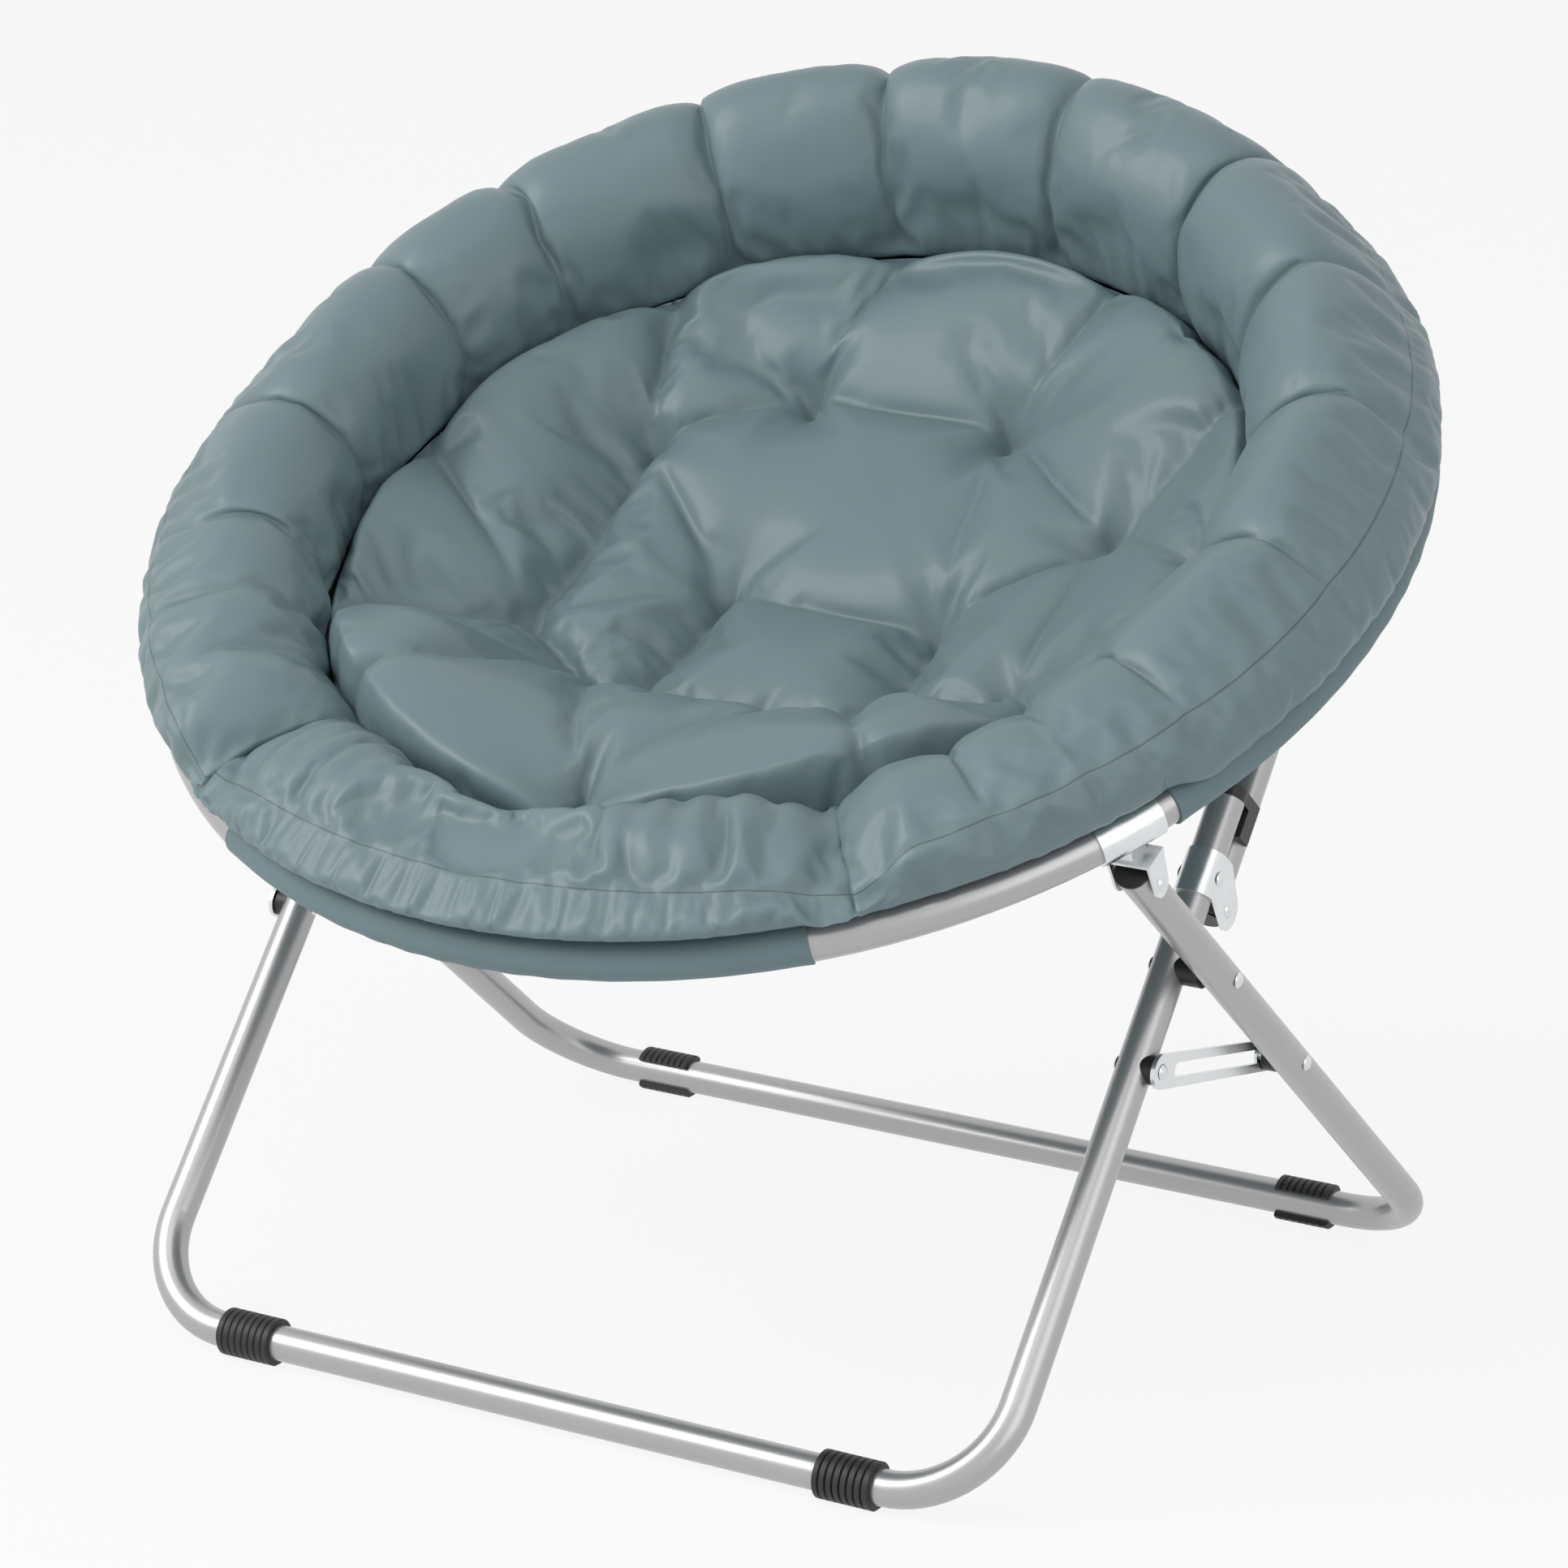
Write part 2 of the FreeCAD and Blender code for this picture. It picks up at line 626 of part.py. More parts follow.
def sling():
    """The bowl of cloth, sewn to the sleeves on the hoop."""
    mid = sling_rim * 0.55
    deep = sling_depth + sling_wall
    outline = [arc3((0, -sling_depth), (mid, -bowl_drop(mid)), (sling_rim, 0)),
               line2((sling_rim, 0), (sling_rim, -sling_wall)),
               arc3((sling_rim, -sling_wall), (mid, -bowl_drop(mid) - sling_wall), (0, -deep)),
               line2((0, -deep), (0, -sling_depth))]
    save("sling", spin(outline))


def sleeves(neck):
    """Tubes of cloth round the hoop, open at the brackets."""
    inner = hoop_tube_radius + sleeve_gap
    save("front_sleeve", hoop_arc(-front_sleeve, front_sleeve, sleeve_outer, inner))
    rear = hoop_arc(rear_sleeve, 360.0 - rear_sleeve, sleeve_outer, inner)
    window = neck.makeOffsetShape(window_gap, 0.01, join=2)
    for cutter in both(window):
        rear = rear.cut(cutter)
    save("rear_sleeve", rear)


def seat_pad():
    """The tufted pad that fills the bowl inside the rim roll."""
    half = seat_bottom_radius / 2.0
    bottom = (seat_bottom_radius, sling_gap - bowl_drop(seat_bottom_radius))
    mid = (half, sling_gap - bowl_drop(half))
    centre_low = (0, sling_gap - sling_depth)
    corner = (seat_radius, -seat_edge_low)
    bulge = ((seat_bottom_radius + seat_radius + seat_side_bulge) / 2.0,
             (bottom[1] + corner[1] - seat_side_bulge) / 2.0)
    outline = [arc3(centre_low, mid, bottom), arc3(bottom, bulge, corner),
               line2(corner, (seat_radius, -pad_top_drop(seat_radius))),
               arc3((seat_radius, -pad_top_drop(seat_radius)), (half, -pad_top_drop(half)),
                    (0, -pad_top_drop(0))),
               line2((0, -pad_top_drop(0)), centre_low)]
    body = spin(outline).fuse(front_shelf())
    ball = (tuft_radius ** 2 + tuft_depth ** 2) / (2.0 * tuft_depth)
    for angle, radius in tufts:
        rise = ball - tuft_depth - pad_top_drop(radius)
        body = body.cut(Part.makeSphere(ball, hoop_point(angle, radius, rise)))
    save("seat_pad", body)


def front_shelf():
    """The high front row of the seat, which holds the backs of the knees."""
    def spot(x, along, rise):
        return HOOP + V(x, 0, 0) + SLOPE * along - DOWN * rise
    wires = []
    for share in (-1.0, -0.68, 0.0, 0.68, 1.0):
        x = shelf_half * share
        top = shelf_top - shelf_end_drop * share ** 4
        foot = -pad_top_drop(shelf_back) - seat_edge_drop
        deep = -bowl_drop(shelf_front) + seat_edge_low
        back, crest = spot(x, -shelf_back, foot), spot(x, -shelf_crest, top)
        face = spot(x, -(shelf_back + shelf_crest) / 2.0, foot * 0.34 + top * 0.66)
        brow = spot(x, -(shelf_crest + shelf_front) / 2.0, top + seat_edge_drop)
        front = spot(x, -shelf_front, top - seat_side_bulge)
        low = spot(x, -shelf_front, deep)
        wires.append(Part.Wire([Part.Arc(back, face, crest).toShape(), Part.Arc(crest, brow, front).toShape(),
                                Part.LineSegment(front, low).toShape(), Part.LineSegment(low, back).toShape()]))
    shelf = Part.makeLoft(wires, True, True)
    inside = Part.makeCylinder(seat_radius - seat_edge_drop, 2.0 * sling_depth, HOOP - DOWN * sling_depth, DOWN)
    return shelf.common(inside)


def pad_top_drop(radius):
    """Depth of the pad's hollow upper face below the hoop's plane."""
    deep = sling_depth - sling_gap - seat_thickness - seat_edge_drop
    ball = (seat_radius ** 2 + deep ** 2) / (2.0 * deep)
    return math.sqrt(ball ** 2 - radius ** 2) - (ball - deep) + seat_edge_drop


def rim_section(angle, shape, width, top):
    """Inner seam, crest, outer seam, upright border and underside at one angle."""
    def spot(share, rise):
        return hoop_point(angle, roll_centre + width * share, rise)
    inner, rise_in, crest, rise_out, seam = [spot(share, rim_under + (top - rim_under) * up)
                                             for share, up in shape]
    seam_rise = rim_under + (top - rim_under) * shape[-1][1]
    bulge = spot((shape[-1][0] + 1.0) / 2.0 + border_bulge, (seam_rise + rim_foot) / 2.0)
    foot = spot(1.0, rim_foot)
    under = spot((2.0 * roll_inset - hoop_tube) / roll_half_width - 1.0, rim_under)
    return Part.Wire([Part.Arc(inner, rise_in, crest).toShape(), Part.Arc(crest, rise_out, seam).toShape(),
                      Part.Arc(seam, bulge, foot).toShape(), Part.LineSegment(foot, under).toShape(),
                      Part.LineSegment(under, inner).toShape()])


def rim_roll():
    """The padded roll round the rim, drawn in at each gather."""
    steps = roll_gathers * 2
    span = 360.0 - 2.0 * roll_start
    wires = []
    for i in range(steps + 1):
        angle = roll_start + span * i / steps
        end = abs(2.0 * i / steps - 1.0)
        back = (1.0 - math.cos(math.radians(angle))) / 2.0
        top = roll_side_height + (roll_back_height - roll_side_height) * back
        top *= (1.0 - roll_end_drop * end ** 5) * (1.0 - gather_depth * (i % 2 == 0))
        wires.append(rim_section(angle, roll_shape, roll_half_width * (1.0 - roll_end_taper * end ** 8), top))
    body = Part.makeLoft(wires, True, True)
    for cutter in both(keep_off_screw()):
        body = body.cut(cutter)
    save("rim_roll", body.cut(keep_off_hoop(hoop_tube_radius + plate)))


def keep_off_hoop(radius):
    return Part.makeTorus(hoop_radius, radius + clear, HOOP, DOWN)


def keep_off_screw():
    """Room in the roll's underside for the clamp band's screw head."""
    angle = bracket_angle(along_hoop(REAR_PIVOT)) + screw_offset
    top = hoop_point(angle, hoop_radius, hoop_tube_radius + plate + screw_head_height + clear)
    return rod(hoop_point(angle), top, head_radius + screw_room)


def front_flap():
    """The front part of the rim pad between the two notches."""
    steps = 8
    wires = []
    for i in range(steps + 1):
        angle = -flap_half_angle + 2.0 * flap_half_angle * i / steps
        end = abs(2.0 * i / steps - 1.0)
        top = flap_height * (1.0 - flap_end_drop * end ** 4) * (1.0 - gather_depth * (i % 2 == 0))
        width = roll_half_width * (1.0 - roll_end_taper * end ** 8)
        wires.append(rim_section(angle, flap_shape, width, top))
    body = Part.makeLoft(wires, True, True)
    save("front_flap", body.cut(keep_off_hoop(sleeve_outer)))


def main():
    os.makedirs("parts", exist_ok=True)
    front_frame()
    rear_frame()
    feet()
    cross_pivots()
    knuckle()
    save_pair("leg_cap", leg_cap())
    strut()
    neck = hoop_assembly()
    links()
    sling()
    sleeves(neck)
    seat_pad()
    rim_roll()
    front_flap()
    for name, shape in PARTS.items():
        print(name, len(shape.Solids), shape.isValid(), round(shape.Volume))
    box = Part.makeCompound(list(PARTS.values())).BoundBox
    print("box", box)


main()
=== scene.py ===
"""Folding saucer chair: cushion, sling cloth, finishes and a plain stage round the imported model.

Everything soft is measured from the hoop: an angle in degrees from its front, a radius, and a
rise above its plane, all in metres.
"""

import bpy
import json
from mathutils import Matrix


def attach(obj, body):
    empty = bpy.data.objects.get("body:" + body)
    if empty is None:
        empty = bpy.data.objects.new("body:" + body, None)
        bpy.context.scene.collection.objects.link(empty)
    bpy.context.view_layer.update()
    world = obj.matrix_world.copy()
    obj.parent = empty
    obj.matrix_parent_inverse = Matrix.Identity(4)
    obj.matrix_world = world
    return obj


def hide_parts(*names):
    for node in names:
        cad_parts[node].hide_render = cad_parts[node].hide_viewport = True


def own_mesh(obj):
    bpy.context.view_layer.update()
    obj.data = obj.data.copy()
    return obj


bl_info = {
    "name": "Folding saucer chair",
    "version": (1, 0, 0),
    "blender": (4, 5, 0),
    "location": "View3D > Sidebar > Chair",
    "description": "Cushion, sling, finishes and stage of a folding saucer chair",
    "category": "Object",
}

import json
import math

import bmesh
import bpy
import numpy as np
from bpy.props import FloatProperty, FloatVectorProperty, PointerProperty
from bpy.types import Operator, Panel, PropertyGroup
from mathutils import Matrix, Vector

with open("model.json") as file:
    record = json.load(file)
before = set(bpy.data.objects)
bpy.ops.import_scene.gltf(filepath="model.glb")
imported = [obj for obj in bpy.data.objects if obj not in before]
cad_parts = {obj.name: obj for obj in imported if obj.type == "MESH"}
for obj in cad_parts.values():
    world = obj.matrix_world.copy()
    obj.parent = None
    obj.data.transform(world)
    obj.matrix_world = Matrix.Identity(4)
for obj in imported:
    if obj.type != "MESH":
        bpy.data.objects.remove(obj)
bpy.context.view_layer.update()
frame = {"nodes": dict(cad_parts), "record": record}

# Tufts of the seat, and the tacks at its edge where creases end, as (degrees, radius).
TUFTS = ((163, 0.211), (206.5, 0.228), (237, 0.232), (288, 0.205), (116, 0.215), (69, 0.218),
         (102, 0.088), (255, 0.090), (41, 0.169), (325, 0.156), (0, 0.303))
TACK_RADIUS = 0.330
RIM_TACKS = tuple((angle, TACK_RADIUS) for angle in (296, 262, 222, 191, 160, 128, 92, 60, 322, 38))

# Creases from one tuft or tack to another by their place in the rows above, and how far each is drawn in.
CREASES = ((2, 3, 0.95), (3, 11, 0.95), (7, 9, 1.0), (6, 8, 1.0), (9, 8, 1.0), (3, 9, 0.9), (8, 5, 0.9),
           (7, 6, 0.75), (3, 7, 0.5), (2, 7, 0.45), (1, 2, 0.6), (0, 1, 0.6), (0, 4, 0.5), (4, 5, 0.5),
           (6, 4, 0.55), (6, 0, 0.3), (2, 13, 0.55), (3, 12, 0.5), (1, 14, 0.4), (0, 15, 0.45),
           (4, 16, 0.45), (4, 17, 0.35), (5, 18, 0.5), (9, 10, 0.35), (8, 10, 0.35), (9, 19, 0.45),
           (8, 20, 0.45))

# Creases drawn in by more than this are also held while the seat is filled.
DEEP_CREASE = 0.8
CREASE_WIDTH = 0.026
TUFT_REACH = 0.034
DIMPLE_RADIUS = 0.014
SEAT_SINK = 0.004

# The front shelf's back, front and side: where each slope starts, and its length.
SHELF_ENDS = ((0.128, 0.052), (0.22, 0.09), (0.17, 0.13))

# Degrees at which the roll is drawn in by a gather.
ROLL_GATHERS = (47, 56, 66, 85, 106, 127, 147.5, 171, 193.5, 214.5, 236.5, 252.5, 275, 293, 304, 314)
GATHER_WIDTH = 1.9

# Rows of faces over the top panel, up the border and along the underside of a cover's section.
ROLL_ROWS = (30, 8, 13)
FLAP_ROWS = (26, 8, 12)

# Undersides as (radius, rise), and for the roll how much lower it is where it is sewn to the sleeve.
ROLL_UNDERSIDE = ((0.443, 0.0200, 0.0045), (0.432, 0.0188, 0.0030), (0.420, 0.010, 0.0),
                  (0.408, 0.000, 0.0), (0.380, -0.008, 0.0), (0.345, -0.012, 0.0))
FLAP_UNDERSIDE = ((0.440, 0.0190), (0.424, 0.0155), (0.412, 0.004), (0.380, -0.006), (0.345, -0.008))

# How far the border stands out from the line between its seam and its foot.
BORDER_BULGE = ((0.010, -0.008), (0.006, 0.012))

# Where inner seam, outer seam, foot and inner seam again lie in a cover's UV.
PANEL_SHARES = (0.0, 0.5, 0.7, 1.0)
MEAN_RIM = 0.4

# The sling's bowl, its wall, and the waves where the hoop pulls it.
BOWL_RIM = 0.423
BOWL_DEPTH = 0.150
SLING_RADIUS = 0.4235
SLING_WALL = 0.0016
PULLS = 24.0
PULL_HEIGHT = 0.0011

# The seat's underside: rings as shares of its radius, and its gap to the sling.
UNDERSIDE_RINGS = (0.93, 0.84, 0.66, 0.40, 0.15)
UNDERSIDE_GAP = 0.0015

# Sleeves: looseness, depth of their folds, thickness at a hem, and their gap to the tube.
SLEEVE_LOOSE = 0.0011
SLEEVE_FOLD = 0.0004
SLEEVE_HEM = 0.0006
SLEEVE_GAP = 0.0002

# A ridge this proud takes the palest painted sheen, a hollow this deep the darkest painted shade. Frames
# that fill a cover. Half the width of the painted shade line along a seam.
PAINTED_SHEEN_HEIGHT = 0.0004
CLOTH_FRAMES = 16
SEAM_SHADE_HALF_WIDTH = 0.0022

# Lamps as name, place, size; their watts are among the stage's settings.
KEY_LAMP = ("key_light", (-2.6, -2.7, 3.0), 2.6)
FILL_LAMP = ("fill_light", (3.0, -1.6, 1.7), 2.4)
TOP_LAMP = ("top_light", (0.4, -1.5, 3.3), 2.0)
LAMP_TARGET = (0.0, 0.0, 0.45)
FLOOR_SIZE = 14.0
FLOOR_COLOUR = (0.80, 0.80, 0.81, 1.0)
FLOOR_GLOW = 0.88
WHITE = (1.0, 1.0, 1.0, 1.0)
BACKGROUND = (0.97, 0.97, 0.97, 1.0)
SKY_COLOUR = (0.93, 0.96, 1.0, 1.0)


def length(name, default, description):
    return FloatProperty(name=name, description=description, default=default, unit='LENGTH')


def power(name, default, description):
    return FloatProperty(name=name, description=description, default=default, unit='POWER')


def colour(name, default, description):
    return FloatVectorProperty(name=name, description=description, default=default, subtype='COLOR',
                               size=3, min=0.0, max=1.0)


class HoopShape(PropertyGroup):
    """Where the hoop lies"""
    radius: length("Radius", 0.4387, "Centre line of the hoop's tube")
    tube: length("Tube", 0.0135, "Radius of the hoop's tube")
    back: length("Back", 0.0037, "Hoop's centre behind the chair's middle")
    height: length("Height", 0.5515, "Hoop's centre above the floor")
    tilt: FloatProperty(name="Tilt", description="Rise towards the rear", default=math.radians(25.21),
                        subtype='ANGLE')


class CushionShape(PropertyGroup):
    """Sizes of the padded cushion"""
    seat_radius: length("Seat radius", 0.330, "Where the seat meets the roll")
    seat_depth: length("Seat depth", 0.106, "Middle of the seat below the hoop")
    pillow: length("Pillow", 0.036, "Crown of the seat between its tufts")
    tuft: length("Tuft", 0.010, "How far a tuft is pulled in")
    shelf: length("Front shelf", 0.046, "Extra filling under the knees")
    seam_rise: length("Seam rise", 0.058, "Roll's outer seam above the hoop")
    foot_rise: length("Foot rise", 0.019, "Lower edge of the border above the hoop")
    crest: length("Crest", 0.146, "Roll's crest above the hoop at the back")
    gather: length("Gather", 0.0016, "Height of the fine folds along a seam")
    roll_start: FloatProperty(name="Roll start", default=34.0, description="Degrees from the front")
    front_sleeve: FloatProperty(name="Front sleeve", default=30.0, description="Its half angle in degrees")
    rear_sleeve: FloatProperty(name="Rear sleeve", default=62.5, description="Degrees from the front")
    flap_half: FloatProperty(name="Flap half angle", default=35.0, description="Degrees from the front")
    spare_cloth: FloatProperty(name="Spare cloth", default=0.07,
                               description="Share by which the cover is larger than its filling")
    air: FloatProperty(name="Filling", default=3.0, description="Pressure of the filling")


class Finishes(PropertyGroup):
    """Colours of the chair"""
    cover: colour("Cover", (0.165, 0.235, 0.245), "Matt faux leather")
    # Seam shade: a dark colour painted along the outer seam as the shade in its groove.
    seam_shade: colour("Thread", (0.075, 0.105, 0.11), "Seams and stitches")
    cloth: colour("Sling", (0.175, 0.250, 0.262), "Coated sling cloth")
    paint: colour("Paint", (0.46, 0.455, 0.455), "Silver powder coat")
    zinc: colour("Zinc", (0.76, 0.78, 0.79), "Bright zinc plate")
    rivet_dull: colour("Rivet, dull", (0.62, 0.63, 0.64), "Darker tone of a polished head")
    rivet_bright: colour("Rivet, bright", (0.80, 0.81, 0.82), "Lighter tone of a polished head")
    plastic: colour("Plastic", (0.012, 0.012, 0.013), "Black moulded parts")


class StageShape(PropertyGroup):
    """Camera and light"""
    azimuth: FloatProperty(name="Azimuth", default=math.radians(30.593), subtype='ANGLE',
                           description="Camera round the chair")
    elevation: FloatProperty(name="Elevation", default=math.radians(16.919), subtype='ANGLE',
                             description="Camera above the floor")
    roll: FloatProperty(name="Roll", default=math.radians(0.063), subtype='ANGLE',
                        description="Camera about its own axis")
    distance: length("Distance", 4.007, "Camera to target")
    target: FloatVectorProperty(name="Target", default=(0.00765, -0.015, 0.37567), size=3,
                                description="Point that the camera looks at", unit='LENGTH')
    lens: FloatProperty(name="Lens", default=131.75, description="Focal length", unit='CAMERA')
    key: power("Key", 100.0, "Large light on the left")
    fill: power("Fill", 20.0, "Light on the right")
    top: power("Top", 12.0, "Light above")
    sky: FloatProperty(name="Sky", default=0.45, description="Strength of the even light")


class HoopSpace:
    """Turns places round the hoop into points of the chair."""

    def __init__(self, shape):
        self.centre = np.array((0.0, shape.back, shape.height))
        self.slope = np.array((0.0, math.cos(shape.tilt), math.sin(shape.tilt)))
        self.up = np.array((0.0, -math.sin(shape.tilt), math.cos(shape.tilt)))

    def place(self, x, along, rise):
        x, along, rise = np.broadcast_arrays(x, along, rise)
        side = np.array((1.0, 0.0, 0.0))
        return self.centre + x[..., None] * side + along[..., None] * self.slope + rise[..., None] * self.up

    def round(self, angle, radius, rise):
        a = np.radians(angle)
        return self.place(radius * np.sin(a), -radius * np.cos(a), rise)


def smooth_step(value):
    t = np.clip(value, 0.0, 1.0)
    return t * t * (3.0 - 2.0 * t)


def bezier(points, t):
    """Points of a cubic curve, as (radius, rise) rows."""
    p = np.array(points, float)
    t = np.asarray(t)[:, None]
    return (1 - t) ** 3 * p[0] + 3 * (1 - t) ** 2 * t * p[1] + 3 * (1 - t) * t * t * p[2] + t ** 3 * p[3]


def new_object(name, points, faces, corners=None):
    """A mesh piece at the origin, with a UV row for each face corner."""
    mesh = bpy.data.meshes.new(name)
    mesh.from_pydata(np.asarray(points).tolist(), [], faces)
    if corners is not None:
        layer = mesh.uv_layers.new(name="cloth")
        layer.data.foreach_set("uv", np.asarray(corners, float).ravel())
    mesh.validate()
    obj = bpy.data.objects.new(name, mesh)
    bpy.context.scene.collection.objects.link(obj)
    return obj


def points_of(mesh):
    flat = np.zeros(len(mesh.vertices) * 3)
    mesh.vertices.foreach_get("co", flat)
    return flat.reshape(-1, 3)


def set_points(mesh, points):
    mesh.vertices.foreach_set("co", np.asarray(points, float).ravel())
    mesh.update()


def only(obj):
    """Select one piece alone."""
    bpy.ops.object.select_all(action='DESELECT')
    obj.select_set(True)
    bpy.context.view_layer.objects.active = obj


def swell(obj, sewn, cushion, limit, spare=None):
    """Fill a closed cover with air and keep the shape that it takes, moved by no more than a limit."""
    start = points_of(obj.data).copy()
    group = obj.vertex_groups.new(name="sewn")
    group.add([int(i) for i in sewn], 1.0, 'ADD')
    cloth = obj.modifiers.new("Cover", 'CLOTH')
    cloth.settings.quality = 6
    cloth.settings.mass = 0.25
    cloth.settings.tension_stiffness = 22.0
    cloth.settings.compression_stiffness = 22.0
    cloth.settings.shear_stiffness = 7.0
    cloth.settings.bending_stiffness = 0.35
    cloth.settings.use_pressure = True
    cloth.settings.uniform_pressure_force = cushion.air
    cloth.settings.shrink_min = -(cushion.spare_cloth if spare is None else spare)
    cloth.settings.vertex_group_mass = "sewn"
    cloth.settings.effector_weights.gravity = 0.0
    cloth.collision_settings.use_collision = False
    cloth.point_cache.frame_start = 1
    cloth.point_cache.frame_end = CLOTH_FRAMES
    scene = bpy.context.scene
    for step in range(1, CLOTH_FRAMES + 1):
        scene.frame_set(step)
    graph = bpy.context.evaluated_depsgraph_get()
    done = points_of(obj.evaluated_get(graph).data)
    move = done - start
    reach = np.linalg.norm(move, axis=1)
    move *= (limit * np.tanh(reach / limit) / np.maximum(reach, 1e-9))[:, None]
    obj.modifiers.remove(cloth)
    set_points(obj.data, start + move)
    scene.frame_set(1)


def subdivide(obj, levels=1):
    only(obj)
    step = obj.modifiers.new("Subdivision", 'SUBSURF')
    step.levels = levels
    step.render_levels = levels
    bpy.ops.object.modifier_apply(modifier=step.name)
    bpy.ops.object.shade_smooth()


def neighbour_sum(edges, values):
    """For each point, the sum of a value over the points that an edge joins it to."""
    total = np.zeros_like(values)
    for a, b in ((0, 1), (1, 0)):
        np.add.at(total, edges[:, a], values[edges[:, b]])
    return total


def mark_painted_sheen_and_shade(obj):
    """Store how far each point stands proud of its neighbours, for a painted sheen on ridges and painted
    shade in hollows.
    """
    mesh = obj.data
    points = points_of(mesh)
    edges = np.zeros(len(mesh.edges) * 2, int)
    mesh.edges.foreach_get("vertices", edges)
    edges = edges.reshape(-1, 2)
    normals = np.zeros(len(mesh.vertices) * 3)
    mesh.vertices.foreach_get("normal", normals)
    normals = normals.reshape(-1, 3)
    count = np.maximum(neighbour_sum(edges, np.ones(len(points))), 1)
    proud = ((points - neighbour_sum(edges, points) / count[:, None]) * normals).sum(1)
    for _ in range(6):
        proud = 0.5 * proud + 0.5 * neighbour_sum(edges, proud) / count
    layer = mesh.attributes.new("painted_sheen_and_shade", 'FLOAT', 'POINT')
    layer.data.foreach_set("value", np.clip(proud / PAINTED_SHEEN_HEIGHT, -1.0, 1.0))


def ring_of_sections(name, sections, angles, space, counts):
    """A closed cover made of one loop of (radius, rise) for each angle, with hollow ends."""
    rows, columns = sections.shape[:2]
    points = space.round(angles[:, None], sections[..., 0], sections[..., 1]).reshape(-1, 3)
    along = np.radians(angles) * MEAN_RIM
    share = np.interp(np.arange(columns + 1), np.cumsum((0,) + counts), PANEL_SHARES)
    faces, corners = [], []
    for i in range(rows - 1):
        for j in range(columns):
            k = (j + 1) % columns
            faces.append((i * columns + j, i * columns + k, (i + 1) * columns + k, (i + 1) * columns + j))
            corners += [(along[i], share[j]), (along[i], share[j + 1]),
                        (along[i + 1], share[j + 1]), (along[i + 1], share[j])]
    middles = []
    for row, inward in ((0, 1), (rows - 1, -1)):
        middle = points[row * columns:(row + 1) * columns].mean(0)
        next_middle = points[(row + inward) * columns:(row + inward + 1) * columns].mean(0)
        middles.append(middle + (next_middle - middle) * 4.0)
        centre = rows * columns + len(middles) - 1
        for j in range(columns):
            k = (j + 1) % columns
            order = (row * columns + k, row * columns + j, centre)
            faces.append(order if inward > 0 else order[::-1])
            corners += [(along[row], share[j])] * 3
    return new_object(name, np.concatenate([points, middles]), faces, corners)


def sewn_points(rows, counts):
    """Points of a cover that its seams hold: both seams, the underside and the two ends."""
    top, side, _ = counts
    columns = sum(counts)
    index = np.arange(rows * columns).reshape(rows, columns)
    held = list(index[:, 0]) + list(index[:, top + side:].ravel()) + list(index[:, top])
    return held + list(index[0]) + list(index[-1]) + [rows * columns, rows * columns + 1]


def cover_section(inner, crest_in, crest_out, seam, foot, under, counts):
    """One loop of a cover: top panel, border and underside, as (radius, rise) rows."""
    top, side, low = counts
    panel = bezier((inner, crest_in, crest_out, seam), np.linspace(0, 1, top, endpoint=False))
    upper, lower = BORDER_BULGE
    bulge = ((seam[0] + upper[0], seam[1] + upper[1]), (foot[0] + lower[0], foot[1] + lower[1]))
    border = bezier((seam, bulge[0], bulge[1], foot), np.linspace(0, 1, side, endpoint=False))
    path = np.array([foot] + list(under) + [inner])
    gaps = np.concatenate([[0], np.cumsum(np.linalg.norm(np.diff(path, axis=0), axis=1))])
    t = np.linspace(0, gaps[-1], low, endpoint=False)
    floor = np.stack([np.interp(t, gaps, path[:, 0]), np.interp(t, gaps, path[:, 1])], 1)
    return np.concatenate([panel, border, floor])


def roll_height(angle):
    """Share of the roll's full height: low at its two ends, tallest at the back."""
    away = np.abs((angle + 180.0) % 360.0 - 180.0)
    sides = smooth_step((away - 30.0) / 90.0)
    back = smooth_step((away - 100.0) / 80.0)
    return 0.42 + 0.38 * sides + 0.20 * back


def fine_folds(angle):
    """Uneven little folds along a seam, from -1 to 1."""
    drift = 2.1 * math.sin(math.radians(angle * 5.0)) + 1.3 * math.sin(math.radians(angle * 11.0) + 0.7)
    depth = 0.55 + 0.45 * math.sin(math.radians(angle * 7.0) + 2.0)
    return depth * math.sin(math.radians(angle * 83.0) + drift)


